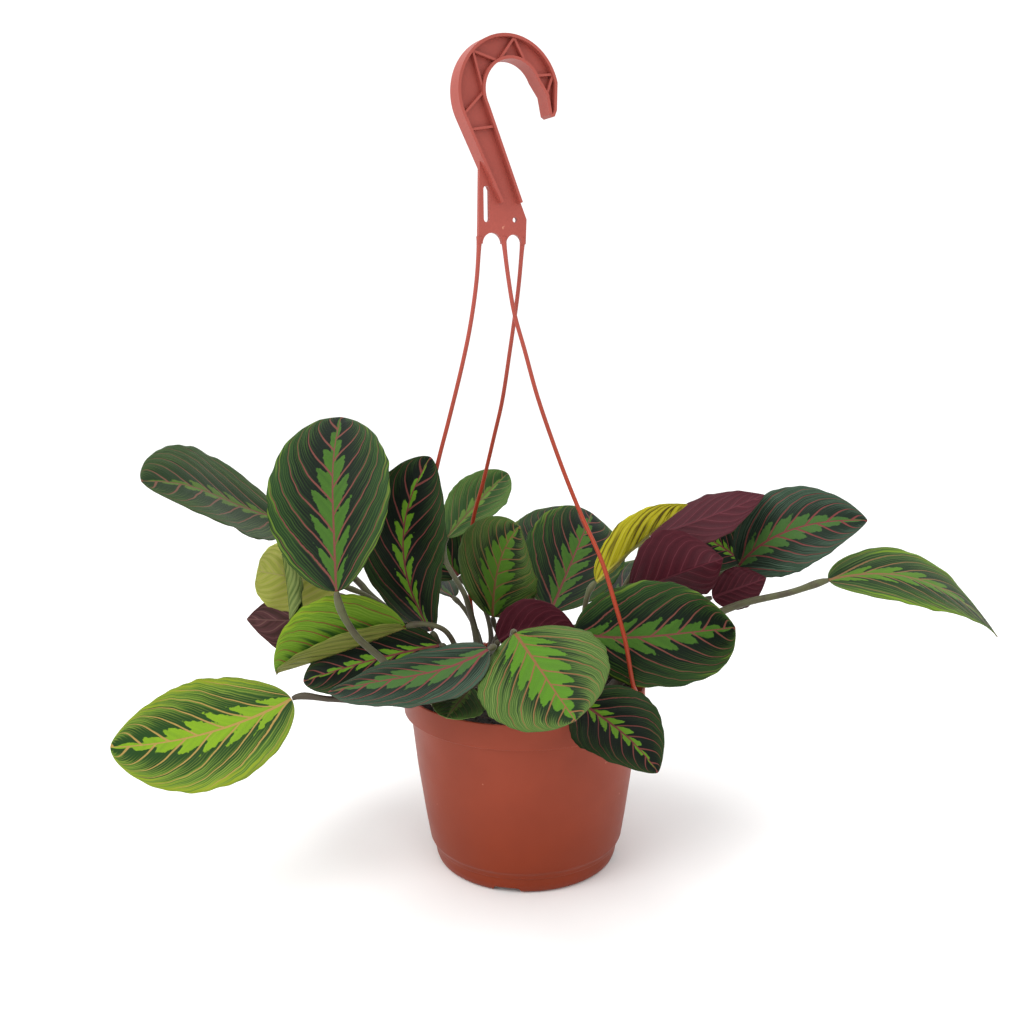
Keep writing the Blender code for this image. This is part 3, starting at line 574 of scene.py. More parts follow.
@dataclass(frozen=True)
class LeafSkin:
    """A maranta leaf's skin: waxy, pleated between its side veins, patterned on top, plainer beneath."""

    name: str
    feather: str
    inner: str
    outer: str
    stripe: str
    vein: str
    back: str
    back_mark: str
    back_vein: str
    spread: float = 0.07  # feather's half width between its teeth; under 0 it breaks into patches
    teeth: float = 0.27  # how much further its teeth reach
    fade_from: float = 0.45  # where the dark field starts to lighten towards the margin
    fade_to: float = 1.0
    stripes: float = 0.6  # how strong the fine light stripes are
    stripe_count: float = 6.0  # stripes between two side veins
    vein_width: float = 0.05  # half width of a side vein, as a part of the space between two
    base_glow: float = 0.0  # how far a yellow tone runs in from the margin
    glow: str = "#A8C848"
    sway: float = 0.12  # how far the veins wander, as a part of the space between two
    ragged: float = 0.045  # how deep the small notches in the feather are
    roughness: float = 0.46
    gloss: float = 0.13

    def material(self) -> bpy.types.Material:
        """Build the finish.

        Returns:
            The material.
        """
        made, tree, shader = new_finish(self.name)
        math_node, ranged, blend = "ShaderNodeMath", "ShaderNodeMapRange", "ShaderNodeMix"
        soft = {"interpolation_type": "SMOOTHSTEP"}
        colours = {"data_type": "RGBA"}

        read = {name: add(tree, "ShaderNodeAttribute", {"attribute_name": name})
                for name in ("vein", "spot", "underside")}
        vein = add(tree, "ShaderNodeSeparateXYZ", {}, {"Vector": read["vein"].outputs["Vector"]})
        spot = add(tree, "ShaderNodeSeparateXYZ", {}, {"Vector": read["spot"].outputs["Vector"]})
        out, along = vein.outputs["Y"], vein.outputs["Z"]
        far_half = add(tree, math_node, {"operation": "GREATER_THAN"}, {0: spot.outputs["X"], 1: 0.0})
        shift = add(tree, math_node, {"operation": "MULTIPLY"}, {0: far_half, 1: FAR_HALF_SHIFT})
        phase = add(tree, math_node, {"operation": "ADD"}, {0: vein.outputs["X"], 1: shift})
        # The veins wander by one or two millimetres over 20 mm
        wander = add(tree, "ShaderNodeTexNoise", {},
                     {"Vector": read["spot"].outputs["Vector"], "Scale": 0.05, "Detail": 2.0})
        sway = add(tree, ranged, {}, {"Value": wander, "To Min": -self.sway, "To Max": self.sway})
        phase = add(tree, math_node, {"operation": "ADD"}, {0: phase, 1: sway})
        near = add(tree, math_node, {"operation": "PINGPONG"}, {0: phase, 1: 0.5})
        part = add(tree, math_node, {"operation": "FRACT"}, {0: phase})

        # Side veins narrow towards the margin, where they fade
        taper = add(tree, ranged, {}, {"Value": out, "From Min": 0.1, "From Max": 0.95,
                                       "To Min": self.vein_width, "To Max": 0.5 * self.vein_width})
        share = add(tree, math_node, {"operation": "DIVIDE"}, {0: near, 1: taper})
        line = add(tree, ranged, soft, {"Value": share, "From Min": 1.5, "From Max": 0.7})
        fade = add(tree, ranged, soft, {"Value": out, "From Min": 1.0, "From Max": 0.9})
        line = add(tree, math_node, {"operation": "MULTIPLY"}, {0: line, 1: fade})
        # The midrib is about 1.7 mm wide at the stalk and 0.4 mm at the tip
        off = add(tree, math_node, {"operation": "ABSOLUTE"}, {0: spot.outputs["X"]})
        width = add(tree, ranged, {}, {"Value": along, "To Min": 0.85, "To Max": 0.2})
        share = add(tree, math_node, {"operation": "DIVIDE"}, {0: off, 1: width})
        rib = add(tree, ranged, soft, {"Value": share, "From Min": 1.35, "From Max": 0.75})
        veins = add(tree, math_node, {"operation": "MAXIMUM"}, {0: line, 1: rib})

        # Fine stripes of about 1 mm run beside the side veins
        lane = add(tree, "ShaderNodeCombineXYZ", {},
                   {"X": phase, "Y": out, "Z": spot.outputs["Z"]})
        lanes = add(tree, "ShaderNodeMapping", {}, {"Vector": lane, "Scale": (11.0, 2.2, 7.0)})
        grain = add(tree, "ShaderNodeTexNoise", {}, {"Vector": lanes, "Scale": 1.0, "Detail": 2.5})
        wide_lanes = add(tree, "ShaderNodeMapping", {}, {"Vector": lane, "Scale": (3.2, 1.3, 9.0)})
        wide = add(tree, "ShaderNodeTexNoise", {}, {"Vector": wide_lanes, "Scale": 1.0, "Detail": 2.0})
        many = add(tree, math_node, {"operation": "MULTIPLY"}, {0: phase, 1: self.stripe_count})
        loose = add(tree, math_node, {"operation": "MULTIPLY_ADD"}, {0: wide, 1: 1.6, 2: many})
        comb = add(tree, math_node, {"operation": "PINGPONG"}, {0: loose, 1: 0.5})
        comb = add(tree, math_node, {"operation": "MULTIPLY_ADD"}, {0: grain, 1: 0.55, 2: comb})
        strip = add(tree, ranged, soft, {"Value": comb, "From Min": 0.5, "From Max": 0.72})
        out_there = add(tree, ranged, soft, {"Value": out, "From Min": 0.22, "From Max": 0.72,
                                             "To Max": self.stripes})
        strip = add(tree, math_node, {"operation": "MULTIPLY"}, {0: strip, 1: out_there})

        # The field: dark beside the midrib, lighter towards the margin, in streaks
        streak = add(tree, ranged, {}, {"Value": wide, "From Min": 0.25, "From Max": 0.75,
                                        "To Min": -0.28, "To Max": 0.28})
        edge = add(tree, math_node, {"operation": "ADD"}, {0: out, 1: streak})
        lighter = add(tree, ranged, soft, {"Value": edge, "From Min": self.fade_from,
                                           "From Max": self.fade_to})
        ground = add(tree, blend, colours, {"Factor": lighter, 6: colour_of(self.inner),
                                            7: colour_of(self.outer)}).outputs[2]
        ground = add(tree, blend, colours, {"Factor": strip, 6: ground,
                                            7: colour_of(self.stripe)}).outputs[2]
        warm = add(tree, ranged, soft, {"Value": edge, "From Min": 1.02 - self.base_glow,
                                        "From Max": 1.25 - self.base_glow,
                                        "To Max": 0.85 if self.base_glow else 0.0})
        ground = add(tree, blend, colours, {"Factor": warm, 6: ground,
                                            7: colour_of(self.glow)}).outputs[2]

        # The feather: one tooth for each space between veins, with small notches
        tooth = add(tree, "ShaderNodeValToRGB", {}, {"Fac": part})
        while len(tooth.color_ramp.elements) < len(TOOTH_SHAPE):
            tooth.color_ramp.elements.new(0.5)
        for stop, (where, level) in zip(tooth.color_ramp.elements, TOOTH_SHAPE):
            stop.position = where
            stop.color = (level, level, level, 1.0)
        notch = add(tree, "ShaderNodeTexNoise", {}, {"Vector": read["spot"].outputs["Vector"],
                                                     "Scale": 0.36, "Detail": 2.0})
        notched = add(tree, ranged, {}, {"Value": notch, "From Min": 0.3, "From Max": 0.7,
                                         "To Min": -self.ragged, "To Max": self.ragged})
        reach = add(tree, math_node, {"operation": "MULTIPLY_ADD"},
                    {0: tooth.outputs[0], 1: self.teeth, 2: self.spread})
        reach = add(tree, math_node, {"operation": "ADD"}, {0: reach, 1: notched})
        narrow = add(tree, ranged, soft, {"Value": along, "From Min": 1.0, "From Max": 0.45,
                                          "To Min": 0.35})
        reach = add(tree, math_node, {"operation": "MULTIPLY"}, {0: reach, 1: narrow})
        inside = add(tree, math_node, {"operation": "SUBTRACT"}, {0: reach, 1: out})
        plume = add(tree, ranged, soft, {"Value": inside, "From Min": -0.012, "From Max": 0.022})
        tone = add(tree, ranged, {}, {"Value": wide, "From Min": 0.3, "From Max": 0.8, "To Max": 0.4})
        light = add(tree, blend, colours, {"Factor": tone, 6: colour_of(self.feather),
                                           7: colour_of(self.outer)}).outputs[2]
        top = add(tree, blend, colours, {"Factor": plume, 6: ground, 7: light}).outputs[2]
        top = add(tree, blend, colours, {"Factor": veins, 6: top, 7: colour_of(self.vein)}).outputs[2]

        # Underneath: broad bands along the veins
        band = add(tree, ranged, soft, {"Value": near, "From Min": 0.16, "From Max": 0.34})
        streaky = add(tree, ranged, soft, {"Value": wide, "From Min": 0.35, "From Max": 0.6})
        band = add(tree, math_node, {"operation": "MULTIPLY"}, {0: band, 1: streaky})
        beneath = add(tree, blend, colours, {"Factor": band, 6: colour_of(self.back),
                                             7: colour_of(self.back_mark)}).outputs[2]
        beneath = add(tree, blend, colours, {"Factor": veins, 6: beneath,
                                             7: colour_of(self.back_vein)}).outputs[2]
        under = read["underside"].outputs["Fac"]
        both = add(tree, blend, colours, {"Factor": under, 6: top, 7: beneath}).outputs[2]

        # Relief: sunken veins, soft ribs between them, and skin cells drawn at 0.7 mm
        cells = add(tree, "ShaderNodeTexNoise", {}, {"Vector": read["spot"].outputs["Vector"],
                                                     "Scale": 1.4, "Detail": 2.0})
        ribbed = add(tree, math_node, {"operation": "MULTIPLY_ADD"}, {0: grain, 1: 0.9, 2: cells})
        raised = add(tree, math_node, {"operation": "SUBTRACT"}, {0: ribbed, 1: veins})
        bump = add(tree, "ShaderNodeBump", {}, {"Strength": 0.35, "Distance": 0.0005,
                                                "Height": raised})
        wax = add(tree, ranged, {}, {"Value": grain, "To Min": self.roughness - 0.08,
                                     "To Max": self.roughness + 0.12})
        wire(tree, shader, {"Base Color": both, "Roughness": wax, "Normal": bump, "IOR": 1.45,
                            "Specular IOR Level": self.gloss})
        return made


class LeafKind(Enum):
    """The leaf finishes of this plant, from its dark old leaves to its pale young ones."""

    VELVET = LeafSkin("leaf, dark velvet", "#5E8A20", "#08120A", "#1C3014", "#3A5622", "#6A3632",
                      "#50202C", "#34121B", "#763C44", spread=-0.02, teeth=0.27, stripes=0.35)
    FEATHERED = LeafSkin("leaf, feathered", "#3C601E", "#0A160D", "#1E3818", "#3E5A24", "#6A3C34",
                         "#50202C", "#34121B", "#763C44", spread=0.08, teeth=0.27, stripes=0.5,
                         base_glow=0.1, glow="#5C7426")
    MEADOW = LeafSkin("leaf, meadow green", "#4A7618", "#12260C", "#3A5520", "#6E8240", "#7A5434",
                      "#5E3234", "#401B25", "#7A4E4A", spread=0.2, teeth=0.27, fade_from=0.35,
                      fade_to=0.8, stripes=0.6)
    STRIPED = LeafSkin("leaf, finely striped", "#4E6A26", "#1C3016", "#283E20", "#4C6030", "#684638",
                       "#50202C", "#34121B", "#763C44", spread=0.04, teeth=0.15, stripes=0.7)
    DUSKY = LeafSkin("leaf, dusky", "#3C5E28", "#17241A", "#2C4030", "#4C6050", "#6C3634",
                     "#50202C", "#34121B", "#763C44", spread=0.18, teeth=0.18, roughness=0.5,
                     vein_width=0.06)
    LIMED = LeafSkin("leaf, limed", "#4E7420", "#1A2E15", "#345022", "#587236", "#785A3C",
                     "#5E3234", "#401B25", "#7A4E4A", base_glow=0.18, glow="#6C8822")
    GOLDEN = LeafSkin("leaf, golden green", "#74961C", "#1E3C14", "#4A6C20", "#88983C", "#9A7E44",
                      "#8E944C", "#6A7838", "#9A8450", spread=0.12, teeth=0.24, fade_from=0.4,
                      fade_to=0.95, stripes=0.55, base_glow=0.22, glow="#808E20")
    BRIGHT_FOLDED = LeafSkin("leaf, bright and folded", "#6A8C22", "#22400F", "#547616", "#708C2C",
                             "#6A4024", "#6E7434", "#505628", "#787040", spread=0.1, teeth=0.2,
                             fade_from=0.15, fade_to=0.5, stripes=0.6, base_glow=0.2,
                             glow="#78901E")
    YOUNG = LeafSkin("leaf, young", "#58762F", "#24401A", "#3E5A26", "#62803E", "#605234",
                     "#6C7A42", "#4C5E2E", "#7C844C", spread=0.1, teeth=0.14, stripes=0.6)
    YELLOW_BACK = LeafSkin("leaf, yellow beneath", "#5C8432", "#224024", "#4C703A", "#769A4C",
                           "#8A764E", "#AEA61E", "#4E4212", "#B4AA44")
    PALE_BACK = LeafSkin("leaf, pale beneath", "#5C8432", "#224024", "#4C703A", "#769A4C",
                         "#8A764E", "#B2B65A", "#9EA64C", "#B2AE68")
    PURPLE_BACK = LeafSkin("leaf, crimson beneath", "#4A6A22", "#0C1A10", "#1E3818", "#3E5A24",
                           "#6A3C34", "#43151E", "#3C121B", "#56242D")
    # Painted sheen: the crimson underside drawn lighter and greyer. This is its own maroon with the grey
    # sheen of the light painted over it.
    CRIMSON_BACK_PAINTED_SHEEN = LeafSkin("leaf, crimson beneath with painted sheen", "#4A6A22", "#0C1A10", "#1E3818", "#3E5A24",
                          "#6A3C34", "#5A3A3C", "#46302E", "#70504C")


# Pot and soil


@dataclass
class Pot:
    """The moulded pot: a tapered body, a plain rim band, a foot ring with notches, and drain holes."""

    rim_radius: float = 74.8
    rim_top: float = 112.5
    rim_bottom: float = 97.5
    body_top: float = 70.9
    body: tuple = ((60.4, 15.0), (62.8, 30.0), (67.4, 63.0))
    ledge: tuple = (59.0, 13.2)
    foot: tuple = ((57.0, 5.0), (57.6, 10.2))
    foot_radius: float = 53.6
    wall: float = 1.5
    floor_top: float = 9.0
    floor_thickness: float = 2.0
    pad_radius: float = 9.0
    sides: int = 180
    notches: int = 4
    notch_angle: float = -102.0
    notch_widths: tuple = (19.0, 14.5)
    notch_height: float = 3.6
    drains: int = 8
    drain_radius: float = 4.0
    drain_circle: float = 36.0
    slot_angles: tuple = (199.0, 79.0, 319.0)
    slot_size: tuple = (3.4, 2.6)
    edge_radius: float = 1.1
    finish: MouldedPolypropylene = MouldedPolypropylene(
        "moulded polypropylene, pot", "#7A2B0D", "#612312", "#883822")

    def profile(self) -> list[tuple]:
        """Draw half of the pot's section.

        Returns:
            Radius and height of each point, from the axis underneath, outside, to the axis above.
        """
        under = self.floor_top - self.floor_thickness
        low, mid, high = self.body
        wall, rim = self.wall, self.rim_radius
        corners = [
            (0.0, 0.0), (self.pad_radius, 0.0), (self.pad_radius + 0.8, under),
            (self.foot[0][0] - 2.6, under), (self.foot_radius - 2.0, 0.0), (self.foot_radius, 0.0),
            (55.8, 1.6), self.foot[0], self.foot[1], (58.3, self.foot[1][1] + 0.3), self.ledge, low,
            mid, high, (self.body_top, self.rim_bottom), (rim - 0.3, self.rim_bottom),
            (rim, self.rim_bottom + 0.5), (rim, self.rim_top), (rim - wall, self.rim_top),
            (rim - wall, self.rim_bottom + wall + 0.2), (self.body_top - wall, self.rim_bottom + wall - 0.4),
            (high[0] - wall, high[1]), (mid[0] - wall, mid[1]), (low[0] - wall, low[1] + 0.5),
            (self.ledge[0] - 2.0, self.floor_top + 2.2), (self.ledge[0] - 4.5, self.floor_top),
            (0.0, self.floor_top),
        ]
        return rounded(corners, self.edge_radius, 4, closed=False)

    def through(self, name: str, angle: float, start: float, depth: float,
                section: Sequence[Point]) -> bpy.types.Object:
        """Make a cutter that goes straight out through the wall.

        Args:
            name: the cutter's name.
            angle: where it is round the pot, in degrees.
            start: the radius where it begins.
            depth: how far out it goes.
            section: its corners, as distance across and height.

        Returns:
            The cutter.
        """
        out = ring_point(1.0, angle, 0.0)
        across = Vector((-out.y, out.x, 0.0))
        corners = [out * start + across * x + Vector((0.0, 0.0, z)) for x, z in section]
        return prism(name, corners, out * depth)

    def cutters(self) -> list[bpy.types.Object]:
        """Make the solids that cut the notches, drain holes and rim slots.

        Returns:
            The cutters.
        """
        low, high = (width / 2 for width in self.notch_widths)
        notch = rounded(((-low, -1.0), (low, -1.0), (high, self.notch_height),
                         (-high, self.notch_height)), 1.0, 3, closed=True)
        found = [self.through("notch", self.notch_angle + 360.0 * i / self.notches,
                              self.foot_radius - 8.0, 16.0, notch) for i in range(self.notches)]
        under = self.floor_top - self.floor_thickness
        for i in range(self.drains):
            centre = ring_point(self.drain_circle, 360.0 * (i + 0.5) / self.drains, 0.0)
            ring = arc(centre[:2], self.drain_radius, 0.0, 345.0, 23)
            found.append(prism("drain", [(x, y, under - 2.0) for x, y in ring],
                               (0.0, 0.0, self.floor_thickness + 4.0)))
        width, height = self.slot_size
        middle = (self.rim_top + self.rim_bottom) / 2 + 1.0
        slot = rounded(((-width / 2, middle - height / 2), (width / 2, middle - height / 2),
                        (width / 2, middle + height / 2), (-width / 2, middle + height / 2)),
                       0.8, 3, closed=True)
        found += [self.through("slot", angle, self.rim_radius - 5.0, 10.0, slot)
                  for angle in self.slot_angles]
        return found

    def build(self) -> bpy.types.Object:
        """Mould the pot.

        Returns:
            The finished pot.
        """
        pot = combine(lathe("pot_moulding", self.profile(), self.sides), self.cutters(), "DIFFERENCE")
        return finish_piece(pot, "pot", self.finish.material(), 32.0)


@dataclass
class Soil:
    """The peat in the pot: a low uneven crown with loose crumbs on it."""

    pot: Pot
    level: float = 103.0
    crown: float = 3.0
    gap: float = 0.4
    rings: int = 56
    sides: int = 150
    crumb_density: float = 90000.0
    crumb_radius: float = 1.1
    crumb_seed: int = 11
    turn_seed: int = 3
    size_seed: int = 5
    finish: PeatSoil = PeatSoil()

    def height(self, x: float, y: float) -> float:
        """Give the surface's height at a place."""
        fall = 1.0 - (x * x + y * y) / self.pot.rim_radius ** 2
        lumps = math.sin(0.21 * x + 1.0) * math.cos(0.17 * y) + 0.5 * math.sin(0.4 * y - 0.3 * x)
        return self.level - 2.0 + self.crown * fall + 0.5 * lumps * fall

    def fine_height(self, x: float, y: float) -> float:
        """Give the height with its small crumbs and hollows."""
        small = (math.sin(1.31 * x + 2.0 * math.sin(0.7 * y)) * math.sin(1.17 * y + 1.5 * math.sin(0.9 * x))
                 + 0.5 * math.sin(2.9 * x + 1.3 * y) * math.sin(2.3 * y - 1.1 * x))
        return self.height(x, y) + 0.45 * small

    def fill(self) -> bpy.types.Object:
        """Make the body of soil.

        Returns:
            The soil, without its crumbs.
        """
        pot = self.pot
        inset = pot.wall + self.gap
        wide = pot.rim_radius - inset
        shelf = pot.rim_bottom + pot.wall + 0.7
        low, mid, high = pot.body
        side = [(0.0, pot.floor_top + self.gap), (pot.ledge[0] - 5.2, pot.floor_top + self.gap),
                (pot.ledge[0] - 2.6, pot.floor_top + 2.4), (low[0] - inset, low[1] + 0.7),
                (mid[0] - inset, mid[1]), (high[0] - inset, high[1]),
                (pot.body_top - inset, pot.rim_bottom), (pot.body_top - inset, shelf), (wide, shelf)]
        top = [(wide * (self.rings - i) / self.rings, self.level) for i in range(self.rings + 1)]
        soil = lathe("soil_bed", (*side, *top), self.sides)
        for vertex in soil.data.vertices:
            if vertex.co.z > (self.level - 0.1) * MM:
                vertex.co.z = self.fine_height(vertex.co.x / MM, vertex.co.y / MM) * MM
        return soil

    def crumb_tree(self) -> bpy.types.GeometryNodeTree:
        """Build the tree that scatters crumbs over the upward faces.

        Returns:
            The node tree.
        """
        tree, given = open_tree("soil crumbs", (("Bed", "Geometry"), ("Density", "Float"),
                                                ("Crumb Radius", "Float"), ("Seed", "Int"),
                                                ("Finish", "Material")), "Soil")
        place = add(tree, "ShaderNodeSeparateXYZ", {}, {"Vector": add(tree, "GeometryNodeInputPosition")})
        surface = add(tree, "FunctionNodeCompare", {"operation": "GREATER_THAN"},
                      {0: place.outputs["Z"], 1: (self.level - 3.0) * MM})
        spots = add(tree, "GeometryNodeDistributePointsOnFaces", {},
                    {"Mesh": given.outputs["Bed"], "Selection": surface,
                     "Density": given.outputs["Density"], "Seed": given.outputs["Seed"]})
        ball = add(tree, "GeometryNodeMeshIcoSphere", {},
                   {"Radius": given.outputs["Crumb Radius"], "Subdivisions": 1})
        turn = add(tree, "FunctionNodeRandomValue", {"data_type": "FLOAT_VECTOR"},
                   {0: (0.0, 0.0, 0.0), 1: (math.tau, math.tau, math.tau), "Seed": self.turn_seed})
        size = add(tree, "FunctionNodeRandomValue", {"data_type": "FLOAT_VECTOR"},
                   {0: (0.3, 0.3, 0.25), 1: (1.3, 1.0, 0.8), "Seed": self.size_seed})
        crumbs = add(tree, "GeometryNodeInstanceOnPoints", {},
                     {"Points": spots.outputs["Points"], "Instance": ball.outputs["Mesh"],
                      "Rotation": turn.outputs[0], "Scale": size.outputs[0]})
        both = add(tree, "GeometryNodeJoinGeometry", {}, {"Geometry": crumbs})
        tree.links.new(given.outputs["Bed"], both.inputs["Geometry"])
        close_tree(tree, both, given.outputs["Finish"], "Soil")
        return tree

    def build(self) -> bpy.types.Object:
        """Fill the pot.

        Returns:
            The finished soil.
        """
        soil = run_tree(self.fill(), self.crumb_tree(), {
            "Density": self.crumb_density, "Crumb Radius": self.crumb_radius * MM,
            "Seed": self.crumb_seed, "Finish": self.finish.material()})
        return finish_piece(soil, "potting_soil", None, 40.0)


# Hanger


@dataclass
class Hanger:
    """The hook with its ribbed blade, and three prongs that clip over the pot's rim."""

    pot: Pot
    sweep: Sweep
    centre: tuple = (-9.0, 0.0)
    turn: float = 28.0
    web: float = 2.6
    flange_depth: float = 11.0
    flange_width: float = 1.7
    truss_width: float = 1.3
    prong_radius: float = 1.25
    foot_flare: tuple = (1.6, 3.5)  # how much thicker a prong is at its foot, over what height
    root_flare: tuple = (0.7, 4.0)
    clip_size: tuple = (12.0, 11.0)
    clip_leg: float = 1.8
    clip_slack: float = 0.3
    clip_cap: float = 2.4
    clearance: float = 0.35
    eye_radii: tuple = (3.4, 1.2)
    root_height: float = 377.0
    outer: tuple = ((1.5, 459.0), 31.0, 206.0, 15.0)
    inner: tuple = ((3.6, 460.5), 18.0, 208.0, 24.0)
    hook_steps: int = 60
    tip: tuple = ((31.0, 452.0), (29.6, 448.8), (28.0, 449.6), (25.8, 460.0))
    ridge_ends: tuple = ((-3.8, 400.0), (8.4, 400.0))
    arches: tuple = ((-8.6, 377.0, 6.2), (5.4, 377.4, 5.0))
    slot: tuple = (-12.1, 399.0, 3.6, 20.0)
    hole: tuple = (6.1, 390.6, 1.5)
    truss: tuple = (
        ((5.0, 489.0), (-3.9, 477.0)), ((5.0, 489.0), (11.6, 477.5)),
        ((-20.6, 480.0), (-5.2, 476.0)), ((-20.6, 480.0), (-14.3, 459.0)),
        ((-26.5, 446.5), (-14.3, 459.0)), ((-22.6, 438.5), (-8.3, 441.0)),
        ((19.5, 470.0), (30.0, 471.5)), ((30.0, 471.5), (26.0, 461.0)),
    )
    clips: dict = field(default_factory=lambda: {"right": -27.0, "back": 115.0, "left": 180.0})
    prong_roots: dict = field(default_factory=lambda: {"left": -16.2, "right": -1.0, "back": 11.8})
    prongs: dict = field(default_factory=lambda: {
        "right": ((62.8, -40.5, 126.6), (57.8, -51.5, 152.8), (52, -50, 174.7), (44.8, -39, 198),
                  (34.7, -23, 220), (26, -16, 241.2), (18, -12, 263), (9, -9, 290), (2, -6, 316),
                  (-4, -4, 338), (-7.5, -2, 360)),
        "back": ((-34, 66, 130), (-36.5, 58, 165), (-33, 49, 202), (-25, 42, 232), (-17.5, 35, 262),
                 (-12, 28, 285), (-7, 20, 315), (-3, 13, 341), (-0.8, 9, 358)),
        "left": ((-73, 0, 124), (-70, -1, 155), (-64, -2, 190), (-56.5, -3, 225), (-50, -4, 252),
                 (-43, -5, 277), (-35, -6, 307), (-29.5, -7, 331), (-25.5, -7, 356)),
    })
    finish: MouldedPolypropylene = MouldedPolypropylene(
        "moulded polypropylene, hanger", "#92331A", "#702A1E", "#A04C42", 0.2, 0.4)

    def point(self, across: float, height: float, depth: float = 0.0) -> Vector:
        """Find a point in the hanger's plane, or in front of it.

        Args:
            across: distance across the blade.
            height: height over the ground.
            depth: how far in front of the plane.

        Returns:
            The point.
        """
        turn = math.radians(self.turn)
        return Vector((self.centre[0] + across * math.cos(turn) + depth * math.sin(turn),
                       self.centre[1] + across * math.sin(turn) - depth * math.cos(turn), height))

    def slab(self, name: str, outline: Sequence[Point], thickness: float) -> bpy.types.Object:
        """Make a flat piece that is centred on the hanger's plane.

        Args:
            name: the piece's name.
            outline: its corners, across and up.
            thickness: its thickness.

        Returns:
            The piece.
        """
        front = [self.point(x, z, thickness / 2) for x, z in outline]
        return prism(name, front, self.point(0, 0, -thickness) - self.point(0, 0, 0))

    def wall_along(self, name: str, path: Sequence[Point], width: float,
                   depth: float) -> bpy.types.Object:
        """Make a standing rib along a path in the hanger's plane.

        Args:
            name: the rib's name.
            path: its middle line, across and up.
            width: its thickness.
            depth: how far it stands across the plane in all.

        Returns:
            The rib.
        """
        left, right = [], []
        for i, (x, z) in enumerate(path):
            before, after = path[max(i - 1, 0)], path[min(i + 1, len(path) - 1)]
            along = Vector((after[0] - before[0], after[1] - before[1])).normalized()
            shift = Vector((-along.y, along.x)) * (width / 2)
            left.append((x + shift.x, z + shift.y))
            right.append((x - shift.x, z - shift.y))
        return self.slab(name, left + right[::-1], depth)

    def blade(self) -> bpy.types.Object:
        """Make the hook and its web, flanges and truss ribs.

        Returns:
            The blade as one solid.
        """
        outer = [self.ridge_ends[0], *arc(*self.outer, self.hook_steps)]
        inner = [self.ridge_ends[1], *arc(*self.inner, self.hook_steps)]
        left = ((-17.4, self.root_height), (-17.2, 384.0), (-16.0, 422.6))
        right = ((9.9, 400.2), (13.7, 391.0), (13.0, self.root_height))
        blade = self.slab("hanger_moulding", [*left, *outer[1:], *self.tip, *inner[:0:-1], *right],
                          self.web)
        cutters = [self.slab("arch", [(x - r, 370.0), *arc((x, z), r, 180.0, 0.0, 24), (x + r, 370.0)],
                             3 * self.web) for x, z, r in self.arches]
        x, z, width, height = self.slot
        ends = (height - width) / 2
        cutters.append(self.slab("slot", arc((x, z + ends), width / 2, 0.0, 180.0, 12)
                                 + arc((x, z - ends), width / 2, 180.0, 360.0, 12), 3 * self.web))
        x, z, radius = self.hole
        cutters.append(self.slab("hole", arc((x, z), radius, 0.0, 345.0, 23), 3 * self.web))
        combine(blade, cutters, "DIFFERENCE")
        edges = ([*outer, *self.tip[:2]], [*self.tip[1:], *inner[::-1]])
        ribs = [self.wall_along("flange", path, self.flange_width, self.flange_depth)
                for path in edges]
        ribs += [self.wall_along("truss", pair, self.truss_width, self.flange_depth - 2.0)
                 for pair in self.truss]
        return combine(blade, ribs, "UNION")

    def clip(self, angle: float) -> list[bpy.types.Object]:
        """Make a clip that sits over the rim, and the small eye beside it.

        Args:
            angle: where it is round the rim, in degrees.

        Returns:
            The clip's two pieces.
        """
        out = ring_point(1.0, angle, 0.0)
        across = Vector((-out.y, out.x, 0.0))
        length, drop = self.clip_size
        pot, leg = self.pot, self.clip_leg
        inner = pot.rim_radius - pot.wall - self.clearance - leg - self.clip_slack
        outer = pot.rim_radius + self.clearance + leg
        seat = pot.rim_top + self.clearance
        top = seat + self.clip_cap
        section = rounded(((inner, top - drop), (inner + leg, top - drop), (inner + leg, seat),
                           (outer - leg, seat), (outer - leg, top - drop), (outer, top - drop),
                           (outer, top), (inner, top)), 1.0, 3, closed=True)
        corners = [out * r - across * (length / 2) + Vector((0.0, 0.0, z)) for r, z in section]
        centre = out * (inner - 0.3) - across * (length / 2 + 1.4) + Vector((0, 0, pot.rim_top))
        return [prism("clip", corners, across * length), self.eye(centre, across, out)]

    def eye(self, centre: Vector, across: Vector, axis: Vector) -> bpy.types.Object:
        """Make a small upright ring.

        Args:
            centre: the ring's middle.
            across: a level unit vector in its plane.
            axis: the unit vector through it.

        Returns:
            The ring.
        """
        radius, section = self.eye_radii
        count, sides = 28, 12
        points = []
        for i in range(count):
            away = (math.cos(math.tau * i / count) * across
                    + Vector((0.0, 0.0, math.sin(math.tau * i / count))))
            points += [centre + away * (radius + section * math.cos(math.tau * k / sides))
                       + axis * section * math.sin(math.tau * k / sides) for k in range(sides)]
        total = len(points)
        faces = []
        for i in range(count):
            for k in range(sides):
                a, b = i * sides + k, i * sides + (k + 1) % sides
                faces.append((a, b, (b + sides) % total, (a + sides) % total))
        return face_out(mesh_object("eye", points, faces))

    def prong(self, side: str, material: bpy.types.Material) -> bpy.types.Object:
        """Make one prong, from its clip up to the blade.

        Args:
            side: which prong.
            material: its finish.

        Returns:
            The prong.
        """
        pot = self.pot
        foot = ring_point(pot.rim_radius - pot.wall / 2, self.clips[side],
                          pot.rim_top + self.clip_cap - 0.8)
        root = self.point(self.prong_roots[side], self.root_height + 4.0)
        path = curve_points([foot, *self.prongs[side], root], 90)
        radii = []
        for at in path:
            flare = (math.exp((foot.z - at.z) / self.foot_flare[1]) * self.foot_flare[0]
                     + math.exp((at.z - root.z) / self.root_flare[1]) * self.root_flare[0])
            radii.append(self.prong_radius + flare)
        return self.sweep.make("prong", path, radii, 16, material)

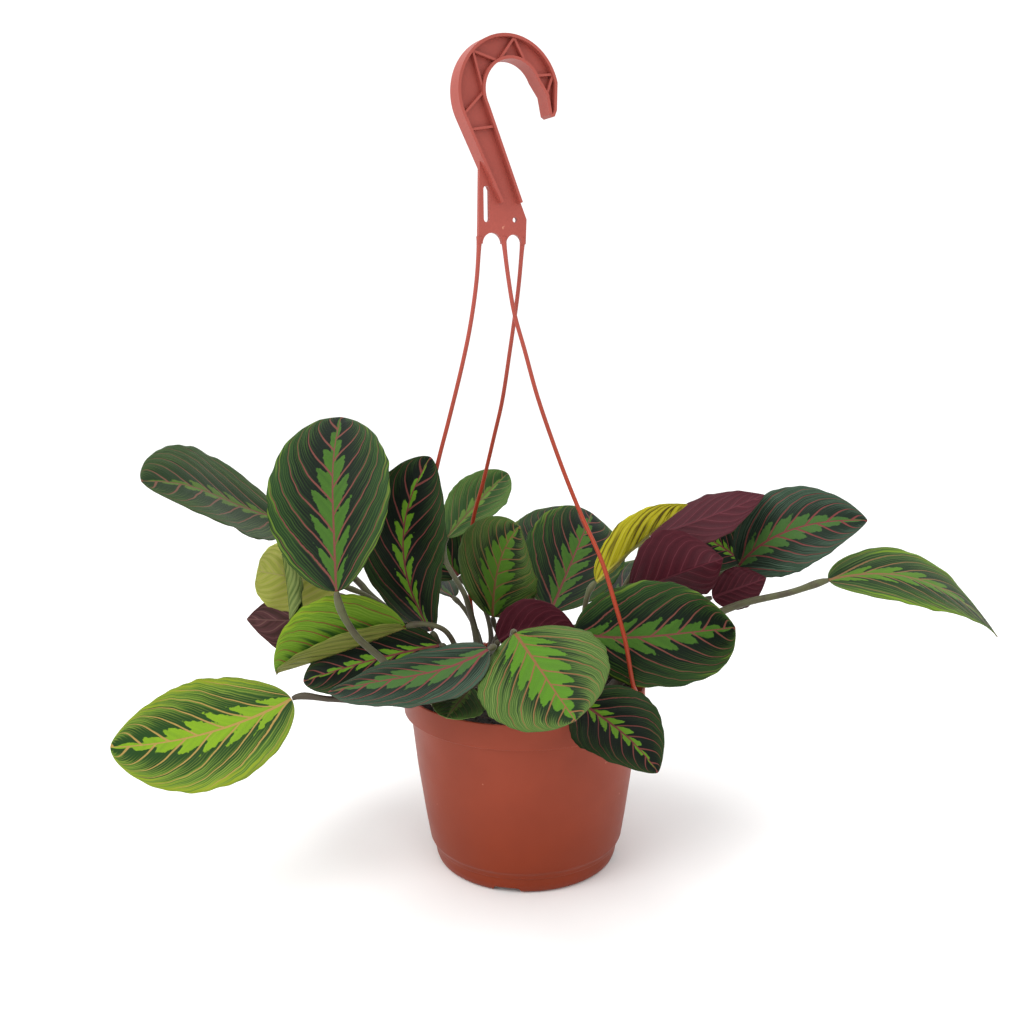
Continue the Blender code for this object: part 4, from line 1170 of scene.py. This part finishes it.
    def build(self) -> bpy.types.Object:
        """Mould the hanger.

        Returns:
            The finished hanger.
        """
        material = self.finish.material()
        pieces = [self.prong(side, material) for side in self.prongs]
        pieces += [piece for angle in self.clips.values() for piece in self.clip(angle)]
        hanger = combine(self.blade(), pieces, "UNION")
        return finish_piece(hanger, "hanger", material, 30.0)


# Leaves


@dataclass(frozen=True)
class LeafBlade:
    """A leaf blade: where its base and tip are, the way its upper side faces, and how it bends."""

    name: str
    kind: LeafKind
    base: Point
    tip: Point
    width: float
    faces: Point  # azimuth and elevation that the upper side looks to
    arch: float = 0.04  # rise of the midrib, as a part of the length
    bend: float = 0.0  # sideways bow of the midrib
    curl: Point = (8.0, 8.0)  # how far each margin has turned up, in degrees
    fold: Point = (4.0, 4.0)  # how far each half is hinged up at the midrib
    twist: float = 0.0
    wave: float = 0.0
    point: float = 0.04  # how much its tip narrows to a point, from 0 for a round one
    halves: Point = (1, 1)  # how wide each half is, as a part of the half width
    rows: int = 90
    columns: int = 36
    thickness: float = 0.5
    fold_ease: float = 0.3  # part of the width below which a fold eases off, at the two ends
    veins: float = 6.6  # pairs of side veins
    sweep: tuple = (0.48, -0.3, 0.42)  # how a side vein runs forward, by powers of the way across
    pleat: float = 0.28
    ripple: float = 0.5
    midrib: float = 0.8

    def axes(self) -> tuple[np.ndarray, np.ndarray, float, np.ndarray, np.ndarray]:
        """Find the blade's base, its way along, its length, its upper side and its way across.

        Returns:
            Those five, as unit vectors but for the base and the length.
        """
        base, tip = np.array(self.base, float), np.array(self.tip, float)
        length = float(np.linalg.norm(tip - base))
        along = (tip - base) / length
        azimuth, elevation = (math.radians(a) for a in self.faces)
        look = np.array((math.cos(azimuth) * math.cos(elevation),
                         math.sin(azimuth) * math.cos(elevation), math.sin(elevation)))
        normal = look - along * look.dot(along)
        normal /= np.linalg.norm(normal)
        return base, along, length, normal, np.cross(along, normal)

    def outline(self, u: np.ndarray) -> np.ndarray:
        """Give the half width at each place along the leaf, as a part of the greatest."""
        place = np.clip(u, 1e-4, 1.0 - 1e-4) ** (math.log(0.5) / math.log(0.47))
        return np.sin(math.pi * place) ** (0.58 + self.point * u)

    def seed(self) -> float:
        """Give a number of the leaf's own, from its place."""
        return sum(abs(c) * k for c, k in zip((*self.base, *self.tip), (3, 5, 7, 11, 13, 17))) % 97.0

    def surface(self, u: np.ndarray, v: np.ndarray) -> tuple[np.ndarray, np.ndarray]:
        """Find points of the blade's middle surface.

        Args:
            u: places along the leaf, 0 at the stalk and 1 at the tip.
            v: places across it, from -1 to 1, in the same shape.

        Returns:
            The points and the unit normals of the upper side.
        """
        base, along, length, normal, across = self.axes()
        u, v = u[..., None], v[..., None]
        rise = normal * self.arch + across * self.bend
        middle = (base + along * length * u + rise * length * 4 * u * (1 - u)
                  + normal * length * self.wave * np.sin(math.tau * u))
        heading = (along + rise * 4 * (1 - 2 * u)
                   + normal * self.wave * math.tau * np.cos(math.tau * u))
        heading /= np.linalg.norm(heading, axis=-1, keepdims=True)
        up = normal - heading * (heading @ normal)[..., None]
        up /= np.linalg.norm(up, axis=-1, keepdims=True)
        out = np.cross(heading, up)
        turn = math.radians(self.twist) * (u - 0.5)
        up, out = np.cos(turn) * up + np.sin(turn) * out, np.cos(turn) * out - np.sin(turn) * up
        outline = self.outline(u)
        seed = self.seed()
        nibble = 1.0 + 0.010 * np.sin(31 * u + seed + 2 * v) + 0.007 * np.sin(71 * u + 3 * seed - v)
        reach = np.where(v > 0, self.halves[1], self.halves[0]) * self.width / 2
        reach = reach * outline * nibble + self.thickness / 2
        fold = np.radians(np.where(v > 0, self.fold[1], self.fold[0]))
        fold = fold * np.minimum(outline / self.fold_ease, 1.0)
        curl = np.radians(np.where(v > 0, self.curl[1], self.curl[0])) * outline
        curl = np.where(np.abs(curl) > 1e-4, curl, 1e-4)
        end = fold + curl * np.abs(v)
        sideways = reach * (np.sin(end) - np.sin(fold)) / curl
        upwards = reach * (np.cos(fold) - np.cos(end)) / curl
        sign = np.where(v > 0, 1.0, -1.0)
        point = middle + out * sideways * sign + up * upwards
        return point, np.cos(end) * up - np.sin(end) * sign * out

    def phase(self, u: np.ndarray, v: np.ndarray) -> np.ndarray:
        """Count the side veins from the base to each place; a whole number is on a vein.

        A vein that leaves the midrib at a share s of the length sweeps forward to
        1 - (1 - s) (1 - sweep) ** (1 + 2 s), so s is found by halving an interval.

        Args:
            u: places along the leaf.
            v: places across it.

        Returns:
            The count at each place, less than nothing for the veins that start at the base.
        """
        out = np.abs(v)
        left = 1.0 - sum(part * out ** (k + 1) for k, part in enumerate(self.sweep))
        low, high = np.full(u.shape, -2.5), np.ones(u.shape)
        for _ in range(30):
            start = (low + high) / 2
            reached = 1.0 - (1.0 - start) * left ** (1.0 + 2.0 * np.maximum(start, 0.0))
            low, high = np.where(reached < u, start, low), np.where(reached < u, high, start)
        return self.veins * np.where(low > 0, low, 0.3 * low)

    def relief(self, u: np.ndarray, v: np.ndarray) -> np.ndarray:
        """Give how far the skin rises between the side veins and at the wavy margin."""
        out = np.abs(v)
        step = self.phase(u, v) + np.where(v > 0, FAR_HALF_SHIFT, 0.0)
        between = 0.5 - 0.5 * np.cos(math.tau * step)
        inward = np.clip(out / 0.2, 0, 1) * np.clip((1 - out) / 0.25, 0, 1) * np.clip(
            np.minimum(u, 1 - u) / 0.08, 0, 1)
        seed = self.seed()
        wavy = np.sin(math.tau * 3.2 * u + seed) + 0.6 * np.sin(math.tau * 6.7 * u + 2 * seed * v)
        return self.pleat * between * inward + self.ripple * wavy * out ** 3 * np.sin(math.pi * u)

    def build(self, materials: dict) -> bpy.types.Object:
        """Grow the blade as a thin closed skin.

        Args:
            materials: the leaf materials by kind.

        Returns:
            The finished leaf.
        """
        u = 0.5 - 0.5 * np.cos(np.linspace(0.0, math.pi, self.rows + 1))
        v = np.linspace(-1.0, 1.0, self.columns + 1)
        u, v = np.meshgrid(u, v, indexing="ij")
        point, normal = self.surface(u, v)
        left, right = self.surface(u, v * 0 - 1e-6)[1], self.surface(u, v * 0 + 1e-6)[1]
        crease = np.abs(v[..., None]) < 0.03
        mean = (left + right) / np.linalg.norm(left + right, axis=-1, keepdims=True)
        normal = np.where(crease, mean, normal)
        length = self.axes()[2]
        off = v * (self.width / 2) * self.outline(u)
        rib = np.exp(-(off / 0.9) ** 2) * self.midrib * (1 - 0.8 * u)
        thin = self.thickness / 2 * (1 - 0.45 * np.abs(v) ** 6)
        lift = self.relief(u, v)
        upper = point + normal * (thin + lift - 0.3 * rib)[..., None]
        lower = point - normal * (thin - lift + rib)[..., None]
        count, wide = u.size, self.columns + 1
        grid = np.arange(count).reshape(u.shape)
        quads = np.stack([grid[:-1, :-1], grid[:-1, 1:], grid[1:, 1:], grid[1:, :-1]], -1).reshape(-1, 4)
        edge = np.concatenate([grid[0, :-1], grid[:-1, -1], grid[-1, :0:-1], grid[:0:-1, 0]])
        rim = np.stack([np.roll(edge, -1), edge, count + edge, count + np.roll(edge, -1)], -1)
        faces = np.concatenate([quads, count + quads[:, ::-1], rim])
        points = np.concatenate([upper.reshape(-1, 3), lower.reshape(-1, 3)])
        leaf = mesh_object(self.name + "_blade", points, faces.tolist())
        vein = np.stack([self.phase(u, v), np.abs(v), u], -1).reshape(-1, 3)
        spot = np.stack([off, length * u + 0 * v, np.full(u.shape, self.seed())], -1).reshape(-1, 3)
        for name, values in (("vein", vein), ("spot", spot)):
            held = leaf.data.attributes.new(name, "FLOAT_VECTOR", "POINT")
            held.data.foreach_set("vector", np.concatenate([values, values]).astype(np.float32).ravel())
        side = leaf.data.attributes.new("underside", "FLOAT", "POINT")
        side.data.foreach_set("value", np.repeat([0.0, 1.0], count).astype(np.float32))
        return finish_piece(leaf, self.name, materials[self.kind])


LEAVES = (
    LeafBlade("leaf_high_left", LeafKind.STRIPED, (-154, 43, 207), (-215, -42, 247), 74, (-97, 43),
              arch=0.01, bend=0.04, curl=(9, 4), wave=-0.02),
    LeafBlade("leaf_tall_left", LeafKind.FEATHERED, (-106, -50, 184), (-109, 8, 277), 76, (-102, 19),
              arch=0.09, fold=(12, 12), curl=(0, 0), twist=28, wave=-0.02),
    LeafBlade("leaf_tall_dark", LeafKind.VELVET, (-56, -13, 149), (-54, -12, 255), 59, (-112, 15),
              arch=0.05, bend=-0.15, curl=(8, 12), fold=(0, 0), twist=45),
    LeafBlade("leaf_small_back", LeafKind.YOUNG, (-50, 62, 191), (-10, 85, 230), 39, (-90, 52),
              arch=0.04, fold=(12, 12), twist=38),
    LeafBlade("leaf_centre_bright", LeafKind.MEADOW, (-20, 31, 145), (-2, -18, 214), 58, (-98, 31),
              arch=-0.04, bend=-0.09, curl=(10, -5), fold=(0, 0), twist=-20, point=0.1),
    LeafBlade("leaf_centre_back", LeafKind.FEATHERED, (17, 3, 157), (46, 69, 205), 64, (-82, 35),
              arch=0.08, curl=(8, 15), twist=28, wave=-0.015),
    LeafBlade("leaf_folded_yellow", LeafKind.YELLOW_BACK, (43, -17, 180), (100, 7, 222), 41, (105, 44),
              arch=0.02, fold=(18, 18), twist=15, point=0.3),
    LeafBlade("leaf_purple_high", LeafKind.PURPLE_BACK, (80, 24, 198), (147, 8, 227), 43, (113, -55),
              arch=0.02, curl=(-5, 13), fold=(0, 0), point=0.36),
    LeafBlade("leaf_right_high", LeafKind.DUSKY, (137, 29, 178), (205, -9, 214), 53, (-88, 30),
              arch=0.15, bend=-0.08, curl=(5, 5), twist=-10, point=0.2),
    LeafBlade("leaf_purple_folded", LeafKind.PURPLE_BACK, (65, -9, 171), (118, -19, 194), 56, (113, 6),
              arch=0.03, curl=(18, 10), fold=(16, 16), twist=-70, point=0.36),
    LeafBlade("leaf_right_behind", LeafKind.VELVET, (143, 49, 176), (109, 51, 198), 36, (-95, 36)),
    LeafBlade("leaf_right_folded", LeafKind.PURPLE_BACK, (117, 8, 163), (149, 4, 176), 26, (100, -18),
              arch=0.0, curl=(-30, 5), point=0.36),
    LeafBlade("leaf_front_right", LeafKind.FEATHERED, (30, -21, 150), (114, -80, 170), 66, (-86, 8),
              arch=-0.08, bend=0.05, curl=(15, -25), fold=(0, 0), wave=0.05, point=0.08),
    LeafBlade("leaf_far_right", LeafKind.LIMED, (181, -18, 180), (282, -21, 145), 55, (-79, 74),
              arch=0.15, bend=-0.06, curl=(15, -12), fold=(0, 0), twist=-15, point=0.5),
    LeafBlade("leaf_crimson", LeafKind.PURPLE_BACK, (-15, -1, 139), (32, -17, 149), 37, (92, 15),
              bend=0.12, point=0.3),
    LeafBlade("leaf_front_centre", LeafKind.MEADOW, (-5, -55, 160), (25, -140, 141), 72, (-100, 36),
              arch=0.0, curl=(-4, 13), fold=(-6, -6), twist=5, wave=0.015),
    LeafBlade("leaf_rim_right", LeafKind.VELVET, (30, -61, 122), (71, -101, 96), 49, (-88, 46),
              arch=0.08, bend=-0.02, curl=(8, 20), twist=-28, wave=-0.02, point=0.16),
    LeafBlade("leaf_rim_small", LeafKind.YOUNG, (-31, -55, 128), (-42, -94, 125), 30, (-95, 42),
              arch=0.0, fold=(-8, -8)),
    LeafBlade("leaf_front_left", LeafKind.DUSKY, (-20, -69, 155), (-107, -83, 136), 55, (-92, 66),
              arch=-0.01, bend=-0.04, curl=(35, -14), fold=(-10, -10), twist=20, wave=-0.02, point=0.2),
    LeafBlade("leaf_left_folded", LeafKind.BRIGHT_FOLDED, (-70, -27, 156), (-149, -24, 127), 69, (-60, 14),
              arch=0.08, curl=(20, 14), fold=(130, 0), twist=-10, halves=(0.42, 1)),
    LeafBlade("leaf_left_dark", LeafKind.VELVET, (-51, -20, 142), (-130, -37, 126), 49, (-93, 50)),
    LeafBlade("leaf_left_pale", LeafKind.PALE_BACK, (-113, 8, 172), (-156, -28, 191), 47, (80, -17),
              arch=0.1, fold=(20, 20)),
    LeafBlade("leaf_left_purple", LeafKind.CRIMSON_BACK_PAINTED_SHEEN, (-93, 11, 151), (-167, -15, 158), 49, (100, -30),
              arch=0.07, curl=(35, 6), fold=(8, 8), point=0.3),
    LeafBlade("leaf_far_left_low", LeafKind.GOLDEN, (-136, -44, 118), (-231, -78, 103), 67, (-90, 40),
              arch=-0.02, bend=-0.06, curl=(0, 0), fold=(0, 0), twist=-18),
    LeafBlade("leaf_rolled_young", LeafKind.YOUNG, (-140, -17, 158), (-145, -9, 197), 26, (-20, 10),
              arch=0.02, curl=(150, 150), fold=(25, 25), twist=30, point=0.4),
    LeafBlade("leaf_back_left", LeafKind.FEATHERED, (-48, 62, 150), (-122, 118, 158), 60, (120, 62),
              arch=0.06),
    LeafBlade("leaf_back_left_low", LeafKind.FEATHERED, (-70, 44, 124), (-146, 74, 98), 56, (150, 60),
              arch=0.08),
    LeafBlade("leaf_back_centre", LeafKind.FEATHERED, (-8, 72, 148), (-18, 160, 150), 62, (95, 60),
              arch=0.1),
    LeafBlade("leaf_back_high", LeafKind.FEATHERED, (8, 50, 172), (30, 108, 203), 52, (70, 45),
              arch=0.06),
    LeafBlade("leaf_back_low", LeafKind.FEATHERED, (18, 78, 122), (34, 140, 88), 56, (80, 48),
              arch=0.1),
    LeafBlade("leaf_back_right", LeafKind.FEATHERED, (56, 56, 148), (118, 118, 160), 60, (55, 58),
              arch=0.05, twist=10),
    LeafBlade("leaf_back_right_low", LeafKind.FEATHERED, (80, 32, 126), (132, 66, 112), 54, (30, 62),
              arch=0.08),
    LeafBlade("leaf_back_purple", LeafKind.FEATHERED, (-44, 72, 162), (-84, 88, 204), 46, (-80, 20),
              arch=0.05, curl=(15, 15)),
)


# Stalks


@dataclass(frozen=True)
class Stalk:
    """A leaf stalk: the leaf that it carries, the points that it passes and its two radii."""

    leaf: str
    through: tuple = ()
    radii: tuple = (2.0, 1.4)


@dataclass(frozen=True)
class Shoot:
    """A stem: where it leaves the soil, and the leaf stalks that grow from it."""

    name: str
    crown: tuple
    stalks: tuple
    crown_radii: tuple = (4.6, 2.6)
    crown_height: float = 8.0
    above_soil: float = 1.0
    joint: float = 0.55  # how much thicker the stalk is at the joint under its leaf
    points: int = 44
    sides: int = 14

    def stalk_path(self, stalk: Stalk, leaf: LeafBlade, start: Vector) -> list[Vector]:
        """Find the way of one stalk.

        Args:
            stalk: the stalk.
            leaf: the leaf at its end.
            start: where it leaves the crown.

        Returns:
            Points along the stalk.
        """
        base = Vector(leaf.base)
        ahead = leaf.surface(np.array([0.02]), np.array([0.0]))[0][0]
        heading = (Vector(ahead.tolist()) - base).normalized()
        end = base - heading * 0.3
        return curve_points([start, *stalk.through, end], self.points, heading)

    def girths(self, stalk: Stalk, count: int) -> list[float]:
        """Give the stalk's radius at each point: a sheath low down, and a joint under the leaf."""
        low, high = stalk.radii
        found = []
        for i in range(count):
            t = i / (count - 1)
            sheath = 0.5 * max(0.0, 1.0 - t / 0.4)
            joint = self.joint * math.exp(-((t - 0.93) / 0.05) ** 2)
            found.append((low + (high - low) * t + sheath + joint) * (1.0 - 0.25 * max(0, t - 0.97) / 0.03))
        return found

    def build(self, soil: Soil, leaves: dict, sweep: Sweep,
              material: bpy.types.Material) -> bpy.types.Object:
        """Grow the shoot as one piece.

        Args:
            soil: the soil that it grows from.
            leaves: the leaves by name.
            sweep: the round sweep.
            material: the finish of the stalks.

        Returns:
            The finished shoot.
        """
        x, y = self.crown
        foot = soil.height(x, y) + self.above_soil
        heights = [-4.0, 0.0, 4.0, self.crown_height]
        wide, thin = self.crown_radii
        crown = sweep.make(self.name + "_stalks", [(x, y, foot + h) for h in heights],
                           [wide, wide, (wide + thin) / 2, thin], self.sides, material)
        pieces = []
        for stalk in self.stalks:
            path = self.stalk_path(stalk, leaves[stalk.leaf], Vector((x, y, foot + 4.0)))
            pieces.append(sweep.make("stalk", path, self.girths(stalk, len(path)), self.sides, material))
        combine(crown, pieces, "UNION")
        return finish_piece(crown, self.name, material, 60.0)


SHOOTS = (
    Shoot("shoot_far_left", (-40, -22), (
        Stalk("leaf_far_left_low", ((-60, -28, 116), (-78, -34, 118), (-96, -38, 115),
                                     (-114, -42, 117)), (2.6, 1.6)),
        Stalk("leaf_left_dark", ((-43, -24, 128),)),
    )),
    Shoot("shoot_tall_left", (-50, -40), (
        Stalk("leaf_tall_left", ((-54, -45, 117), (-66, -51, 126), (-81, -50, 143), (-97, -53, 161)),
                (2.4, 1.9)),
    )),
    Shoot("shoot_left", (-46, -2), (
        Stalk("leaf_tall_dark", ((-48, -5, 128),), (2.4, 1.6)),
        Stalk("leaf_left_folded", ((-40, -12, 130), (-48, -23, 153))),
        Stalk("leaf_left_purple", ((-66, 10, 134),)),
    )),
    Shoot("shoot_left_back", (-44, 18), (
        Stalk("leaf_high_left", ((-62, 19, 132), (-95, 22, 160), (-106, 26, 171),
                                     (-134, 36, 193)), (2.9, 1.7)),
        Stalk("leaf_left_pale", ((-64, 16, 138), (-86, 10, 158))),
        Stalk("leaf_back_left_low", ((-56, 34, 120),)),
    )),
    Shoot("shoot_centre_left", (-26, -6), (
        Stalk("leaf_small_back", ((-30, 16, 135), (-37, 34, 156)), (2.8, 1.4)),
        Stalk("leaf_front_left", ((-25, -28, 134), (-18, -53, 150))),
        Stalk("leaf_rolled_young", ((-54, -15, 117), (-100, -10, 134), (-130, -17, 146)),
                (1.8, 1.3)),
    )),
    Shoot("shoot_centre", (-2, 12), (
        Stalk("leaf_centre_bright", ((-12, 26, 126),)),
        Stalk("leaf_centre_back", ((8, 10, 134),), (2.2, 1.5)),
        Stalk("leaf_crimson", ((-12, 6, 124),)),
    )),
    Shoot("shoot_front", (4, -34), (
        Stalk("leaf_front_centre", ((-6, -42, 140),)),
        Stalk("leaf_rim_right", ((20, -48, 118),)),
        Stalk("leaf_rim_small", ((-16, -44, 122),), (1.6, 1.2)),
        Stalk("leaf_front_right", ((16, -22, 132),)),
    )),
    Shoot("shoot_right", (30, 2), (
        Stalk("leaf_folded_yellow", ((35, -15, 146),), (2.2, 1.5)),
        Stalk("leaf_purple_high", ((50, 13, 146), (69, 16, 178)), (2.4, 1.5)),
        Stalk("leaf_purple_folded", ((50, -2, 140),)),
    )),
    Shoot("shoot_far_right", (46, -18), (
        Stalk("leaf_far_right", ((72, -14, 129), (100, -3, 146), (130, -4, 161),
                                     (160, -12, 171)), (3.0, 1.8)),
        Stalk("leaf_right_folded", ((80, -10, 142), (98, 2, 156))),
    )),
    Shoot("shoot_right_back", (38, 26), (
        Stalk("leaf_right_high", ((70, 32, 140), (106, 38, 164)), (2.4, 1.5)),
        Stalk("leaf_right_behind", ((76, 50, 136), (124, 54, 160)), (2.2, 1.4)),
        Stalk("leaf_back_right_low", ((58, 28, 119),)),
    )),
    Shoot("shoot_back_left", (-26, 40), (
        Stalk("leaf_back_left", ((-32, 48, 132),)),
        Stalk("leaf_back_centre", ((-16, 54, 130),)),
        Stalk("leaf_back_purple", ((-22, 54, 124), (-28, 66, 144))),
    )),
    Shoot("shoot_back_right", (20, 42), (
        Stalk("leaf_back_high", ((8, 38, 140),)),
        Stalk("leaf_back_low", ((16, 60, 119),)),
        Stalk("leaf_back_right", ((38, 46, 132),)),
    )),
)


# Studio


@dataclass
class Studio:
    """A plain pale floor with soft light, and the camera."""

    camera_at: tuple = (0.0, -0.660, 0.345)
    pitch: float = 0.188
    yaw: float = -0.010
    roll: float = -0.011
    lens: float = 39.09
    floor_size: float = 6.0
    floor_colour: str = "#FAFAF9"
    world_strength: float = 1.13
    lamps: tuple = (("key", (-1.0, -0.9, 1.4), 1.1, 15.0), ("fill", (1.2, -1.2, 0.9), 1.2, 2.0),
                    ("top", (-0.2, 0.2, 1.8), 1.0, 8.0))

    def camera(self) -> None:
        """Set up the camera, level with the plant and looking a little down."""
        lens = bpy.data.cameras.new("camera")
        lens.lens = self.lens
        lens.sensor_width = 36.0
        camera = bpy.data.objects.new("camera", lens)
        bpy.context.scene.collection.objects.link(camera)
        ahead = Vector((math.sin(self.yaw) * math.cos(self.pitch),
                        math.cos(self.yaw) * math.cos(self.pitch), -math.sin(self.pitch)))
        right = Vector((math.cos(self.yaw), -math.sin(self.yaw), 0.0))
        up = right.cross(ahead)
        tilt_right = math.cos(self.roll) * right + math.sin(self.roll) * up
        tilt_up = math.cos(self.roll) * up - math.sin(self.roll) * right
        turned = Matrix((tilt_right, tilt_up, -ahead)).transposed().to_4x4()
        camera.matrix_world = Matrix.Translation(self.camera_at) @ turned
        bpy.context.scene.camera = camera

    def lamp(self, name: str, at: Point, size: float, power: float) -> None:
        """Hang a square soft box that faces the plant.

        Args:
            name: the lamp's name.
            at: where it hangs, in metres.
            size: its side in metres.
            power: its power in watts.
        """
        light = bpy.data.lights.new(name, "AREA")
        light.size = size
        light.energy = power
        obj = bpy.data.objects.new(name, light)
        bpy.context.scene.collection.objects.link(obj)
        toward = Vector((0.0, 0.0, 0.15)) - Vector(at)
        obj.rotation_euler = toward.to_track_quat("-Z", "Y").to_euler()
        obj.location = at

    def build(self) -> None:
        """Lay the floor, light it and place the camera."""
        half = self.floor_size / 2 / MM
        floor = mesh_object("floor", [(-half, -half, 0), (half, -half, 0), (half, half, 0),
                                      (-half, half, 0)], [(0, 1, 2, 3)])
        paper, tree, shader = new_finish("matt studio paper")
        place = add(tree, "ShaderNodeTexCoord").outputs["Object"]
        tooth = add(tree, "ShaderNodeTexNoise", {}, {"Vector": place, "Scale": 900.0})
        bump = add(tree, "ShaderNodeBump", {}, {"Strength": 0.02, "Distance": 0.0001, "Height": tooth})
        wire(tree, shader, {"Normal": bump, "Base Color": colour_of(self.floor_colour),
                            "Roughness": 0.9, "Specular IOR Level": 0.1})
        floor.data.materials.append(paper)
        world = bpy.data.worlds.new("studio")
        world.use_nodes = True
        sky = world.node_tree.nodes["Background"]
        sky.inputs["Color"].default_value = (1.0, 1.0, 1.0, 1.0)
        sky.inputs["Strength"].default_value = self.world_strength
        bpy.context.scene.world = world
        for lamp in self.lamps:
            self.lamp(*lamp)
        bpy.context.scene.view_settings.view_transform = "Standard"
        self.camera()


def main() -> None:
    """Build the plant, piece by piece."""
    logging.basicConfig(level=logging.INFO, format="%(name)s: %(message)s")
    pot = Pot()
    pot.build()
    soil = Soil(pot)
    soil.build()
    sweep = Sweep()
    Hanger(pot, sweep).build()
    materials = {kind: kind.value.material() for kind in LeafKind}
    for leaf in LEAVES:
        leaf.build(materials)
    leaves = {leaf.name: leaf for leaf in LEAVES}
    stalk_finish = DownyStalk().material()
    for shoot in SHOOTS:
        shoot.build(soil, leaves, sweep, stalk_finish)
    Studio().build()


if __name__ == "__main__":
    main()
